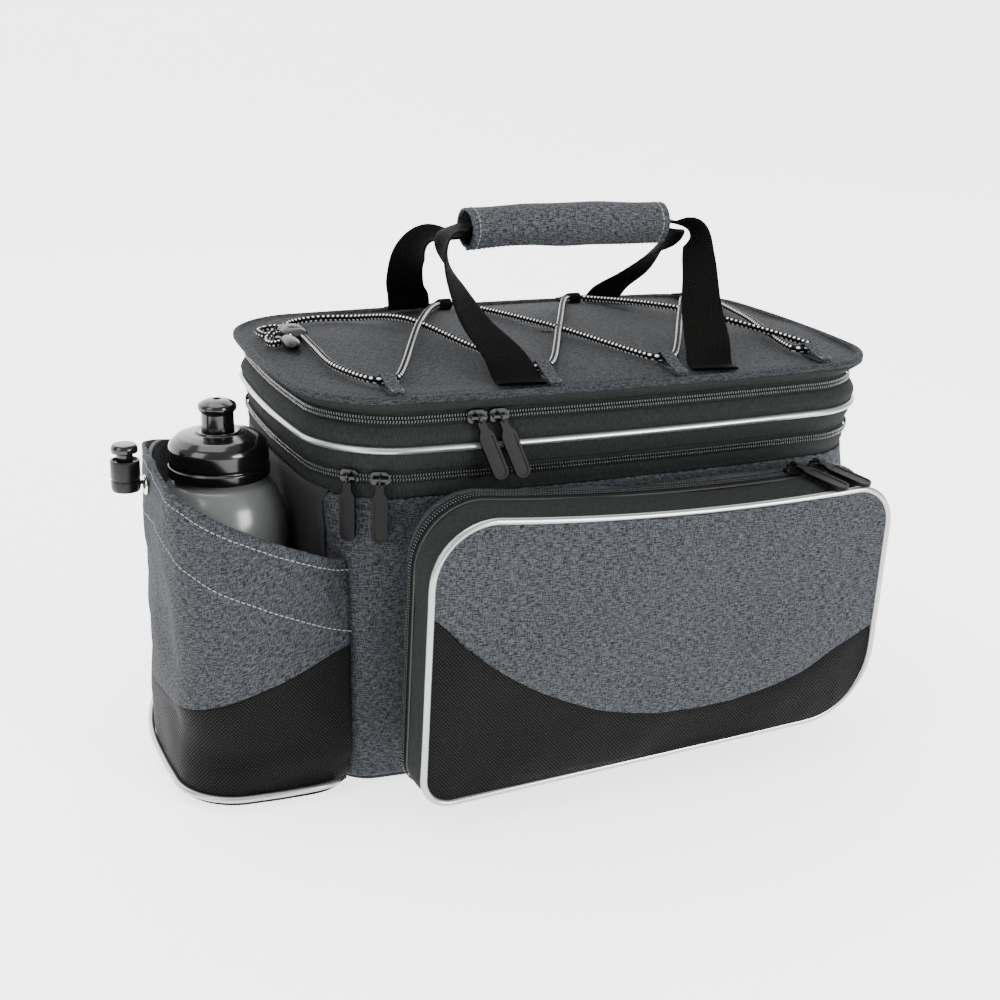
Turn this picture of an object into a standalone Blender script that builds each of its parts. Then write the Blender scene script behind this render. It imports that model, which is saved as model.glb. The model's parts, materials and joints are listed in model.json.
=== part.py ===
"""Bicycle trunk bag: a soft main body with an expanding zip, a zipped lid laced with elastic cord,
two zipped side pockets, a bottle pocket with its bottle, and a webbing handle.

Metres, +Z up. The origin is the centre of the base where it rests. +X runs along the bag, away from
the bottle pocket, and -Y faces the near side pocket."""
import math

import bmesh
import bpy
import numpy as np
from mathutils import Matrix, Vector

GAP = 0.0004

# Main body: the plan at the rim, and how far the walls draw in below it
HALF_LENGTH = 0.1757
HALF_WIDTH = 0.1088
SIDE_BOW = 0.0075
END_BOW = 0.008
CORNER_RADIUS = 0.0424
TUCK = 0.010
BOTTLE_PRESS = 0.0105
WALL = 0.0022

# Heights of the sewn bands from the rim down, and of what lies under them
RIM_HEIGHT = 0.2267
LID_BAND = 0.0086
LID_ZIP = 0.0062
UPPER_BAND = 0.0104
RING_RADIUS = 0.0016
MIDDLE_BAND = 0.0100
EXPANSION_ZIP = 0.0068
LOWER_BAND = 0.0088
BASE_THICKNESS = 0.004
LID_DOME = 0.005
LID_THICKNESS = 0.003

# Side pockets
POCKET_LENGTH = HALF_LENGTH * 1.588
POCKET_RISE = 0.0064
POCKET_CENTRE_X = 0.0005
POCKET_LIFT = 0.0185
POCKET_FACE_Y = 0.168
POCKET_BAND = 0.0200
POCKET_ZIP = 0.0095
POCKET_CORNER = 0.040
POCKET_DOME = 0.005
POCKET_SAG = 0.0045
POCKET_LEAN = 0.0045
POCKET_FLARE = 0.0015
POCKET_STEP = 0.0040
PIPING_RADIUS = 0.0018
PANEL_THICKNESS = 0.0025

# Bottle pocket at the -X end
HOLDER_REACH = HALF_LENGTH + 0.0768
HOLDER_HALF_WIDTH = HALF_WIDTH - 0.0020
HOLDER_CORNER = 0.034
HOLDER_SEAM_X = HALF_LENGTH - 0.0157
HOLDER_WALL = 0.002
HOLDER_MOUTH = 0.190
HOLDER_FLOOR = 0.0030
HOLDER_FLOOR_THICKNESS = 0.003
HOLDER_SEAM_REACH = 0.0140
EYELET_Y = -0.028
EYELET_HEIGHT = 0.1665
EYELET_RADIUS = 0.0045
DRAWCORD_RADIUS = 0.00125
LOCK_RADIUS = 0.008
LOCK_HEIGHT = 0.0175
LOCK_STAND_OFF = 0.003
BUTTON_RADIUS = 0.0072
BUTTON_RISE = 0.0085

# Bottle
BOTTLE_Y = -0.020
BOTTLE_RADIUS = 0.0388
BOTTLE_NECK = 0.0225
BOTTLE_WALL = 0.0012
BOTTLE_HEIGHT = 0.171
CAP_RADIUS = 0.0286
CAP_WALL = 0.0018
CAP_SKIRT = 0.0115
CAP_HEIGHT = 0.0245
SPOUT_POST = 0.0060
SPOUT_RADIUS = 0.0092
SPOUT_HEAD_RADIUS = 0.0106
SPOUT_HEIGHT = 0.0185

# Handle
STRAP_WIDTH = 0.028
STRAP_THICKNESS = 0.0016
GRIPPED_WIDTH = 0.70
HANDLE_RISE = 0.070
GRIP_LENGTH = 0.130
GRIP_HALF_WIDTH = 0.0135
GRIP_HALF_HEIGHT = 0.0120
GRIP_WALL = 0.0020
GRIP_X = 0.009

# Elastic cord on the lid
CORD_RADIUS = 0.0020
LOOP_WIDTH = 0.0075
LOOP_THICKNESS = 0.0009
LOOP_LENGTH = 0.020

# Zip sliders and pull tabs
SLIDER_LENGTH = 0.0105
SLIDER_WIDTH = 0.0072
SLIDER_THICKNESS = 0.0022
BRIDGE_BAR = 0.0014
BRIDGE_RISE = 0.0027
EYE_RADIUS = 0.0018
EYE_WIRE = 0.0005
TAB_LENGTH = 0.034
TAB_WIDTH = 0.0085
TAB_THICKNESS = 0.0022

CORNER_STEPS = 4
SIDE_STEPS = 4
END_STEPS = 3

# The body's walls: share of the rim height, then the draw-in at the sides and ends as shares of TUCK,
# the corner radius as a share of CORNER_RADIUS, and how much of the bottle's press shows
WALL_PROFILE = (
    (0.000, 1.20, 1.45, 0.45, 0.30),
    (0.030, 0.70, 0.90, 0.50, 0.80),
    (0.130, 0.40, 0.55, 0.50, 1.00),
    (0.400, 0.30, 0.50, 0.60, 1.00),
    (0.620, 0.50, 0.60, 0.78, 0.85),
    (0.760, 0.78, 0.80, 0.95, 0.20),
    (0.800, 0.42, 0.80, 0.95, 0.00),
    (0.835, 0.40, 0.85, 0.95, 0.00),
    (0.870, 0.15, 0.65, 0.98, 0.00),
    (0.905, 0.10, 0.55, 1.00, 0.00),
    (0.940, 0.45, 0.85, 0.98, 0.00),
    (0.962, 0.45, 0.85, 0.98, 0.00),
    (0.985, 0.00, 0.10, 1.00, 0.00),
    (1.000, 0.00, 0.00, 1.00, 0.00),
)


def clear_scene():
    for thing in list(bpy.data.objects):
        bpy.data.objects.remove(thing, do_unlink=True)


def collection(name):
    made = bpy.data.collections.new(name)
    bpy.context.scene.collection.children.link(made)
    return made


clear_scene()
PARTS = collection("bicycle_trunk_bag")
CUTTERS = collection("cutters")


def material(name, colour, roughness, metallic=0.0):
    made = bpy.data.materials.new(name)
    made.use_nodes = True
    shader = made.node_tree.nodes["Principled BSDF"]
    shader.inputs["Base Color"].default_value = (*colour, 1.0)
    shader.inputs["Roughness"].default_value = roughness
    shader.inputs["Metallic"].default_value = metallic
    return made


SLATE_CLOTH = material("slate_cloth", (0.13, 0.15, 0.18), 0.85)
CHARCOAL_BAND = material("charcoal_band", (0.035, 0.04, 0.038), 0.85)
BLACK_WEAVE = material("black_weave", (0.02, 0.02, 0.02), 0.7)
SILVER_PIPING = material("silver_piping", (0.65, 0.66, 0.66), 0.35)
BLACK_METAL = material("black_metal", (0.02, 0.02, 0.02), 0.25, 0.8)
DARK_RUBBER = material("dark_rubber", (0.05, 0.05, 0.048), 0.6)
BLACK_PLASTIC = material("black_plastic", (0.015, 0.015, 0.015), 0.3)
SMOKED_PLASTIC = material("smoked_plastic", (0.3, 0.3, 0.3), 0.4)
BRIGHT_METAL = material("bright_metal", (0.7, 0.7, 0.68), 0.25, 1.0)
WEBBING = material("webbing", (0.025, 0.023, 0.021), 0.8)
CORD = material("cord", (0.05, 0.05, 0.05), 0.7)


def add_object(name, mesh, finish, group=None):
    made = bpy.data.objects.new(name, mesh)
    (group or PARTS).objects.link(made)
    if finish:
        mesh.materials.append(finish)
    return made


def mesh_object(name, points, faces, finish, group=None):
    mesh = bpy.data.meshes.new(name)
    mesh.from_pydata([tuple(p) for p in points], [], faces)
    body = bmesh.new()
    body.from_mesh(mesh)
    bmesh.ops.recalc_face_normals(body, faces=body.faces)
    body.to_mesh(mesh)
    body.free()
    return add_object(name, mesh, finish, group)


def thicken(thing, thickness, offset=-1.0):
    wall = thing.modifiers.new("wall", "SOLIDIFY")
    wall.thickness = thickness
    wall.offset = offset
    wall.use_even_offset = True


def skin(name, rows, thickness, finish, around=True, first_cap=False, last_cap=False, inward=True):
    """A surface lofted through rows of equal length, then thickened towards its inner side."""
    count = len(rows[0])
    points = [p for row in rows for p in row]
    faces = []
    for r in range(len(rows) - 1):
        for k in range(count if around else count - 1):
            n = (k + 1) % count
            faces.append((r * count + k, r * count + n, (r + 1) * count + n, (r + 1) * count + k))
    if first_cap:
        faces.append(tuple(range(count))[::-1])
    if last_cap:
        faces.append(tuple(range((len(rows) - 1) * count, len(rows) * count)))
    mesh = bpy.data.meshes.new(name)
    mesh.from_pydata([tuple(p) for p in points], [], faces)
    made = add_object(name, mesh, finish)
    thicken(made, thickness, -1.0 if inward else 1.0)
    return made


def solid(name, rings, finish, group=None):
    """A closed solid lofted through rings of equal length, with flat ends."""
    count = len(rings[0])
    points = [p for ring in rings for p in ring]
    faces = [tuple(range(count))[::-1], tuple(range((len(rings) - 1) * count, len(rings) * count))]
    for r in range(len(rings) - 1):
        for k in range(count):
            n = (k + 1) % count
            faces.append((r * count + k, r * count + n, (r + 1) * count + n, (r + 1) * count + k))
    return mesh_object(name, points, faces, finish, group)


def turned(name, profile, finish, place=(0, 0, 0), steps=20, group=None):
    """A closed solid of revolution about Z. The profile runs round the section as (radius, height)."""
    mesh = bpy.data.meshes.new(name)
    count = len(profile)
    mesh.from_pydata([(r, 0, z) for r, z in profile], [(k, (k + 1) % count) for k in range(count)], [])
    if profile[0][0] == 0.0:
        mesh.clear_geometry()
        mesh.from_pydata([(r, 0, z) for r, z in profile], [(k, k + 1) for k in range(count - 1)], [])
    made = add_object(name, mesh, finish, group)
    made.location = place
    turn = made.modifiers.new("turn", "SCREW")
    turn.steps = turn.render_steps = steps
    turn.use_merge_vertices = True
    turn.merge_threshold = 0.00001
    turn.use_normal_calculate = True
    return made


def tube(name, points, radius, finish, cyclic=False, fineness=1):
    curve = bpy.data.curves.new(name, "CURVE")
    curve.dimensions = "3D"
    curve.bevel_depth = radius
    curve.bevel_resolution = fineness
    curve.use_fill_caps = not cyclic
    line = curve.splines.new("POLY")
    line.points.add(len(points) - 1)
    for point, place in zip(line.points, points):
        point.co = (*place, 1.0)
    line.use_cyclic_u = cyclic
    return add_object(name, curve, finish)


def smooth(points, longest):
    """Points along a centripetal curve through the given ones, a span split where it is longer than given."""
    p = [np.array(q, float) for q in points]
    p = [2 * p[0] - p[1]] + p + [2 * p[-1] - p[-2]]

    def between(a, b, start, end, t):
        return a + (b - a) * (t - start) / (end - start)

    found = []
    for i in range(1, len(p) - 2):
        a, b, c, d = p[i - 1:i + 3]
        knots = [0.0]
        for before, after in ((a, b), (b, c), (c, d)):
            knots.append(knots[-1] + math.sqrt(max(1e-6, math.dist(before[:3], after[:3]))))
        t0, t1, t2, t3 = knots
        splits = max(1, round(math.dist(b[:3], c[:3]) / longest))
        for k in range(splits):
            t = t1 + (t2 - t1) * k / splits
            middle = between(b, c, t1, t2, t)
            first = between(between(a, b, t0, t1, t), middle, t0, t2, t)
            last = between(middle, between(c, d, t2, t3, t), t1, t3, t)
            found.append(between(first, last, t1, t2, t))
    found.append(p[-2])
    return found


def boolean(thing, other, operation):
    cut = thing.modifiers.new("cut", "BOOLEAN")
    cut.operation = operation
    cut.object = other
    other.hide_render = True
    other.display_type = "WIRE"


# The plan of the walls


def profile(z):
    """Draw-in at the sides and ends, corner radius and bottle press of the wall at a height."""
    share = z / RIM_HEIGHT
    heights = [row[0] for row in WALL_PROFILE]
    side, end, corner, press = (np.interp(share, heights, [row[k] for row in WALL_PROFILE]) for k in (1, 2, 3, 4))
    return side * TUCK, end * TUCK, corner * CORNER_RADIUS, press * BOTTLE_PRESS


def outline(z, grow=0.0):
    """Plan of the outer wall at a height, anticlockwise from the near left corner."""
    side, end, corner, press = profile(z)
    a, b, r = HALF_LENGTH - end + grow, HALF_WIDTH - side + grow, corner + grow
    corners = ((-a + r, -b + r, 180), (a - r, -b + r, 270), (a - r, b - r, 0), (-a + r, b - r, 90))
    points = []
    for k, (cx, cy, start) in enumerate(corners):
        for step in range(CORNER_STEPS + 1):
            t = math.radians(start + 90 * step / CORNER_STEPS)
            points.append((cx + r * math.cos(t), cy + r * math.sin(t)))
        nx, ny, turn = corners[(k + 1) % 4]
        t = math.radians(turn)
        last, following = points[-1], (nx + r * math.cos(t), ny + r * math.sin(t))
        splits = SIDE_STEPS if k % 2 == 0 else END_STEPS
        for step in range(1, splits):
            s = step / splits
            points.append((last[0] + (following[0] - last[0]) * s, last[1] + (following[1] - last[1]) * s))
    bowed = []
    for x, y in points:
        along, across = 1 - (x / a) ** 2, 1 - (y / b) ** 2
        moved_x = x * (1 + END_BOW / a * across)
        if x < 0:
            moved_x -= x / a * press * across
        bowed.append((moved_x, y * (1 + SIDE_BOW / b * along)))
    return bowed


def ring(z, grow=0.0):
    return [(x, y, z) for x, y in outline(z, grow)]


def side_y(x, z):
    """Distance of the side wall from the bag's middle plane at a place along it."""
    near = sorted((px, -py) for px, py in outline(z) if py < 0)
    return float(np.interp(x, [p[0] for p in near], [p[1] for p in near]))


# Body and bands

BODY_FOOT = BASE_THICKNESS + GAP
LID_ZIP_TOP = RIM_HEIGHT - LID_BAND - GAP
UPPER_TOP = LID_ZIP_TOP - LID_ZIP - GAP
RING_Z = UPPER_TOP - UPPER_BAND - GAP - RING_RADIUS
MIDDLE_TOP = RING_Z - RING_RADIUS - GAP
EXPANSION_TOP = MIDDLE_TOP - MIDDLE_BAND - GAP
LOWER_TOP = EXPANSION_TOP - EXPANSION_ZIP - GAP
BODY_TOP = LOWER_TOP - LOWER_BAND - GAP
POCKET_HEIGHT = BODY_TOP + POCKET_RISE - POCKET_LIFT
BODY_LEVELS = (0.0, 0.04, 0.17, 0.52, 0.80, 1.0)


def band(name, top, height, finish):
    return skin(name, [ring(top - height), ring(top)], WALL, finish)


def make_body():
    plan = outline(BODY_FOOT, -0.25 * TUCK)
    solid("base_panel", [[(x, y, z) for x, y in plan] for z in (0.0, BASE_THICKNESS)], BLACK_WEAVE)
    rows = [ring(BODY_FOOT + (BODY_TOP - BODY_FOOT) * share) for share in BODY_LEVELS]
    skin("main_body", rows, WALL, SLATE_CLOTH, first_cap=True)
    band("lower_band", LOWER_TOP, LOWER_BAND, CHARCOAL_BAND)
    band("expansion_zip", EXPANSION_TOP, EXPANSION_ZIP, CHARCOAL_BAND)
    band("middle_band", MIDDLE_TOP, MIDDLE_BAND, CHARCOAL_BAND)
    tube("reflective_ring", ring(RING_Z, 0.0006), RING_RADIUS, SILVER_PIPING, cyclic=True)
    band("upper_band", UPPER_TOP, UPPER_BAND, CHARCOAL_BAND)
    band("lid_zip", LID_ZIP_TOP, LID_ZIP, CHARCOAL_BAND)
    lid_rows = [ring(RIM_HEIGHT - LID_BAND), ring(RIM_HEIGHT * 0.985), ring(RIM_HEIGHT)]
    skin("lid_band", lid_rows, WALL, CHARCOAL_BAND)


LID_EDGE = WALL + 0.0026
LID_SHARES = (1.0, 0.82, 0.48)


def lid_top(x, y):
    """Height of the lid's upper face, which is gently domed."""
    u, v = x / (HALF_LENGTH + END_BOW - LID_EDGE), y / (HALF_WIDTH + SIDE_BOW - LID_EDGE)
    share = min(1.0, math.hypot(u, v)) if abs(u) < 1 and abs(v) < 1 else 1.0
    return RIM_HEIGHT + LID_DOME * (1 - share ** 3)


def make_lid():
    edge = outline(RIM_HEIGHT, -LID_EDGE)
    rows = [[(x * s, y * s, lid_top(x * s, y * s)) for x, y in edge] for s in LID_SHARES]
    skin("lid_panel", rows, LID_THICKNESS, SLATE_CLOTH, last_cap=True)


# Side pockets. Corners: share of the length, share of the height, share of the corner radius

POCKET_CORNERS = (
    (-0.497, 0.00, 0.42),
    (0.497, 0.08, 1.00),
    (0.497, 0.955, 0.55),
    (-0.497, 1.00, 0.85),
)
POCKET_SIDE_STEPS = (4, 2, 4, 2)
POCKET_CORNER_STEPS = 3
# Along the gusset from the body: share of its depth, then the draw-in of the ends, the top and the bottom as
# shares of TUCK
GUSSET_ROWS = ((0.0, 1.2, 0.55, 1.0), (0.55, 0.4, -0.15, 0.4), (1.0, 0.0, -0.40, 0.0))


def pocket_loop(grow=0.0):
    """The pocket's outline as (x, z), anticlockwise from the lower left corner."""
    corner_points = [np.array((POCKET_CENTRE_X + POCKET_LENGTH * u, POCKET_LIFT + POCKET_HEIGHT * v))
                     for u, v, _ in POCKET_CORNERS]
    points = []
    for k, point in enumerate(corner_points):
        before = corner_points[k - 1] - point
        after = corner_points[(k + 1) % 4] - point
        before, after = before / np.linalg.norm(before), after / np.linalg.norm(after)
        point = point - (before + after) * grow
        radius = POCKET_CORNERS[k][2] * POCKET_CORNER + grow
        start, end = point + before * radius, point + after * radius
        centre = start + end - point
        for step in range(POCKET_CORNER_STEPS + 1):
            t = math.radians(90 * step / POCKET_CORNER_STEPS)
            points.append(centre + (start - centre) * math.cos(t) + (end - centre) * math.sin(t))
        following = corner_points[(k + 1) % 4]
        turn_back = -after
        next_after = corner_points[(k + 2) % 4] - following
        next_after = next_after / np.linalg.norm(next_after)
        following = following - (turn_back + next_after) * grow
        goal = following + turn_back * (POCKET_CORNERS[(k + 1) % 4][2] * POCKET_CORNER + grow)
        for step in range(1, POCKET_SIDE_STEPS[k]):
            s = step / POCKET_SIDE_STEPS[k]
            sag = POCKET_SAG * 4 * s * (1 - s) if k == 2 else 0.0
            points.append(end + (goal - end) * s - np.array((0.0, sag)))
    return points


def pocket_row(side, y, grow=0.0, ends=0.0, top=0.0, bottom=0.0):
    """One row of a pocket's band, its ends, top and bottom drawn in by the lengths given."""
    middle_z = POCKET_LIFT + POCKET_HEIGHT / 2
    row = []
    for x, z in pocket_loop(grow):
        up = (z - middle_z) / (POCKET_HEIGHT / 2)
        x -= ends * (x - POCKET_CENTRE_X) / (POCKET_LENGTH / 2)
        z -= top * up if up > 0 else bottom * up
        x += POCKET_LEAN * (z - middle_z) / POCKET_HEIGHT
        row.append((x, side * (y(x, z) if callable(y) else y), z))
    return row


def pocket_dome(x, z):
    """How far the face stands out of the piping's plane."""
    u = (x - POCKET_CENTRE_X) / (POCKET_LENGTH / 2)
    v = (z - POCKET_LIFT - POCKET_HEIGHT / 2) / (POCKET_HEIGHT / 2)
    return POCKET_DOME * max(0.0, 1 - u ** 4) * max(0.0, 1 - v ** 4)


# The seam between the face's cloth and its lower panel: share of the length, share of the height
FACE_SEAM = ((-0.50, 0.72), (-0.46, 0.62), (-0.40, 0.52), (-0.27, 0.375), (-0.14, 0.27), (-0.05, 0.23),
             (0.09, 0.21), (0.18, 0.215), (0.28, 0.26), (0.41, 0.36), (0.50, 0.43))
FACE_COLUMNS = (-1.0, -0.97, -0.88, -0.74, -0.45, -0.15, 0.15, 0.45, 0.72, 0.85, 0.95, 1.0)


def face_panel(name, side, lower, finish):
    """The half of a pocket's face above or below the curved seam."""
    loop = pocket_loop(-PIPING_RADIUS - GAP)
    xs = [p[0] for p in loop]
    low_x, high_x = min(xs) + 0.0002, max(xs) - 0.0002
    middle_z = POCKET_LIFT + POCKET_HEIGHT / 2
    chains = []
    for above in (False, True):
        chain = sorted((p[0], p[1]) for p in loop if (p[1] > middle_z) == above)
        chains.append(([p[0] for p in chain], [p[1] for p in chain]))
    rows = []
    for column in FACE_COLUMNS:
        x = (low_x + high_x) / 2 + (high_x - low_x) / 2 * column
        bottom, top = (float(np.interp(x, *chain)) for chain in chains)
        u = (x - POCKET_CENTRE_X) / POCKET_LENGTH
        seam = POCKET_LIFT + POCKET_HEIGHT * float(np.interp(u, [p[0] for p in FACE_SEAM], [p[1] for p in FACE_SEAM]))
        low, high = (bottom, seam - GAP / 2) if lower else (seam + GAP / 2, top)
        heights = [low + (high - low) * s for s in (0.0, 0.3, 1.0)]
        rows.append([(x + POCKET_LEAN * (z - middle_z) / POCKET_HEIGHT, side * (POCKET_FACE_Y + pocket_dome(x, z)), z)
                     for z in heights])
    return skin(name, rows, PANEL_THICKNESS, finish, around=False, inward=side > 0)


def make_pocket(name, side):
    band_back = POCKET_FACE_Y - PIPING_RADIUS - GAP - POCKET_BAND
    zip_back = band_back - GAP - POCKET_ZIP
    gusset_front = zip_back - 3 * GAP

    def seat(x, z):
        return side_y(x, z) + WALL * 0.6

    rows = []
    for share, ends, top, bottom in GUSSET_ROWS:
        rows.append(pocket_row(side, lambda x, z: seat(x, z) + (gusset_front - seat(x, z)) * share,
                               POCKET_FLARE, ends * TUCK, top * TUCK, bottom * TUCK))
    inward = side < 0
    skin(name + "_gusset", rows, WALL, SLATE_CLOTH, inward=inward)
    flare, step = POCKET_FLARE, -POCKET_STEP
    zip_rows = [pocket_row(side, zip_back, flare, top=step), pocket_row(side, band_back - GAP, flare * 0.8, top=step * 0.75)]
    skin(name + "_zip", zip_rows, WALL, CHARCOAL_BAND, inward=inward)
    band_rows = [pocket_row(side, band_back, flare * 0.8, top=step * 0.75), pocket_row(side, band_back + POCKET_BAND)]
    skin(name + "_band", band_rows, WALL, CHARCOAL_BAND, inward=inward)
    tube(name + "_piping", pocket_row(side, POCKET_FACE_Y), PIPING_RADIUS, SILVER_PIPING, cyclic=True)
    face_panel(name + "_face", side, False, SLATE_CLOTH)
    face_panel(name + "_lower_panel", side, True, BLACK_WEAVE)


# Bottle pocket. Along its wall from the near seam: share of the way, then the height of the mouth as a
# share of HOLDER_MOUTH, and of the skirt's upper seam

HOLDER_LINE = (
    (0.00, 0.715, 0.480),
    (0.11, 0.790, 0.390),
    (0.25, 0.905, 0.310),
    (0.34, 0.965, 0.280),
    (0.41, 0.975, 0.262),
    (0.47, 0.955, 0.240),
    (0.56, 0.935, 0.220),
    (0.68, 0.890, 0.240),
    (0.80, 0.830, 0.310),
    (0.90, 0.770, 0.390),
    (1.00, 0.715, 0.480),
)

# The pocket's end runs straight from the near corner to SWEEP_Y, and from there round to the far seam
SWEEP_Y, SWEEP_REACH, SWEEP_POWER, SWEEP_STEPS = -0.021, 0.066, 1.65, 8


def sweep_x(y, inset=0.0):
    """How far the round far end of the bottle pocket has drawn back from its reach, at a place across."""
    share = min(1.0, max(0.0, (y - SWEEP_Y) / (HOLDER_HALF_WIDTH - inset - SWEEP_Y)))
    return SWEEP_REACH * (1 - (1 - share ** SWEEP_POWER) ** (1 / SWEEP_POWER))


def holder_path(z, inset=0.0):
    """Plan of the bottle pocket's wall from its near seam round to its far one."""
    half, reach, r = HOLDER_HALF_WIDTH - inset, HOLDER_REACH - inset, HOLDER_CORNER - inset
    foot = 0.0012 * max(0.0, 1 - z / 0.03) ** 2
    half, reach = half - foot * 0.5, reach - foot
    seam_y = side_y(-HOLDER_SEAM_X, z) + HOLDER_WALL * 1.8 - inset
    near = [(-HOLDER_SEAM_X, -seam_y), (-HOLDER_SEAM_X - HOLDER_SEAM_REACH, -half),
            (-HOLDER_SEAM_X - 2.6 * HOLDER_SEAM_REACH, -half - 0.6 * HOLDER_WALL)]
    for step in range(CORNER_STEPS + 1):
        t = math.radians(270 - 90 * step / CORNER_STEPS)
        near.append((-reach + 0.002 + r + r * math.cos(t), -half + r + r * math.sin(t)))
    near.append((-reach + 0.0005, -(half - r) / 2 - 0.012))
    far = []
    for step in range(SWEEP_STEPS + 1):
        t = math.radians(90 * step / SWEEP_STEPS)
        y = SWEEP_Y + (half - SWEEP_Y) * math.sin(t)
        far.append((-reach + sweep_x(y, HOLDER_HALF_WIDTH - half), y))
    return near + far + [(-HOLDER_SEAM_X - HOLDER_SEAM_REACH, half), (-HOLDER_SEAM_X, seam_y)]


def holder_line(column):
    """A height along the bottle pocket's wall, from its near seam to its far one."""
    def height(share):
        shares, heights = [row[0] for row in HOLDER_LINE], [row[column] for row in HOLDER_LINE]
        return HOLDER_MOUTH * float(np.interp(share, shares, heights))
    return height


def holder_wall(low, high, levels):
    """Rows of the bottle pocket's wall between two lines that run along it."""
    count = len(holder_path(0.0))
    lengths = [0.0]
    path = holder_path(0.1)
    for a, b in zip(path, path[1:]):
        lengths.append(lengths[-1] + math.dist(a, b))
    shares = [length / lengths[-1] for length in lengths]
    rows = []
    for level in levels:
        row = []
        for k in range(count):
            bottom, top = low(shares[k]), high(shares[k])
            z = bottom + (top - bottom) * level
            row.append((*holder_path(z)[k], z))
        rows.append(row)
    return rows


def make_holder():
    mouth, seam = holder_line(1), holder_line(2)
    wall = skin("bottle_pocket_wall", holder_wall(lambda s: seam(s) + GAP, mouth, (0.0, 0.5, 1.0)),
                HOLDER_WALL, SLATE_CLOTH, around=False, inward=False)
    bpy.ops.mesh.primitive_cylinder_add(vertices=10, radius=EYELET_RADIUS * 0.62, depth=0.02,
                                        location=(-HOLDER_REACH, EYELET_Y, EYELET_HEIGHT),
                                        rotation=(0, math.radians(90), 0))
    hole = bpy.context.object
    hole.name = "eyelet_hole"
    for group in list(hole.users_collection):
        group.objects.unlink(hole)
    CUTTERS.objects.link(hole)
    boolean(wall, hole, "DIFFERENCE")
    skin("bottle_pocket_skirt", holder_wall(lambda s: HOLDER_FLOOR, seam, (0.0, 0.12, 0.5, 1.0)),
         HOLDER_WALL, BLACK_WEAVE, around=False, inward=False)
    piping = holder_path(HOLDER_FLOOR + 0.005, -PIPING_RADIUS - 2 * GAP)[1:-1]
    tube("bottle_pocket_piping", [(x, y, HOLDER_FLOOR + 0.005) for x, y in piping], PIPING_RADIUS * 0.9, SILVER_PIPING)
    floor_z = HOLDER_FLOOR + HOLDER_FLOOR_THICKNESS
    inner = holder_path(floor_z, HOLDER_WALL + 0.0035)[1:-1]
    body_end = [p for p in outline(floor_z + 0.002, 0.002) if p[0] < -HOLDER_SEAM_X + 0.01]
    body_end.sort(key=lambda p: -p[1])
    body_end = [p for p in body_end if abs(p[1]) < HOLDER_HALF_WIDTH * 0.81]
    plan = inner + body_end
    solid("bottle_pocket_floor", [[(x, y, z) for x, y in plan] for z in (HOLDER_FLOOR, floor_z)], BLACK_WEAVE)


EYELET_X = -HOLDER_REACH + 0.0004


def make_cord_lock():
    ring_x = EYELET_X - GAP * 1.5
    bpy.ops.mesh.primitive_torus_add(major_radius=EYELET_RADIUS, minor_radius=0.0008, major_segments=14,
                                     minor_segments=6, location=(ring_x - 0.0008, EYELET_Y, EYELET_HEIGHT),
                                     rotation=(0, math.radians(90), 0))
    eyelet = bpy.context.object
    eyelet.name = "bottle_pocket_eyelet"
    for group in list(eyelet.users_collection):
        group.objects.unlink(eyelet)
    PARTS.objects.link(eyelet)
    eyelet.data.materials.append(BRIGHT_METAL)
    lock_x = -HOLDER_REACH - LOCK_STAND_OFF - LOCK_RADIUS
    foot = EYELET_HEIGHT - 0.002
    r, h = LOCK_RADIUS, LOCK_HEIGHT
    barrel = ((0.0, foot), (r * 0.8, foot), (r * 0.95, foot + h * 0.08), (r, foot + h * 0.3), (r, foot + h * 0.9),
              (r * 0.9, foot + h), (0.0, foot + h))
    turned("cord_lock_barrel", barrel[::-1], BLACK_PLASTIC, (lock_x, EYELET_Y, 0), 16)
    top = foot + h + GAP
    b, rise = BUTTON_RADIUS, BUTTON_RISE
    button = ((0.0, top), (b * 0.7, top), (b * 0.7, top + rise * 0.4), (b, top + rise * 0.45), (b, top + rise * 0.8),
              (b * 0.8, top + rise), (0.0, top + rise))
    turned("cord_lock_button", button[::-1], BLACK_PLASTIC, (lock_x, EYELET_Y, 0), 16)
    inside = -HOLDER_REACH + HOLDER_WALL + DRAWCORD_RADIUS + 3 * GAP
    hang = HOLDER_MOUTH * 0.91
    route = [(inside + sweep_x(y) + 0.0006, y, hang) for y in (0.052, 0.036, 0.020, 0.004)]
    route += [(inside + 0.0006, -0.014, hang - 0.001),
             (inside + 0.0003, EYELET_Y + 0.003, EYELET_HEIGHT + 0.004), (inside - 0.001, EYELET_Y, EYELET_HEIGHT),
             (-HOLDER_REACH - LOCK_STAND_OFF + 0.5 * GAP, EYELET_Y, EYELET_HEIGHT + 0.002)]
    tube("bottle_pocket_drawcord", smooth(route, 0.010), DRAWCORD_RADIUS, CORD)


# Bottle


def bottle_axis():
    return -HOLDER_REACH + HOLDER_WALL + BOTTLE_RADIUS + 0.0014


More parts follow.
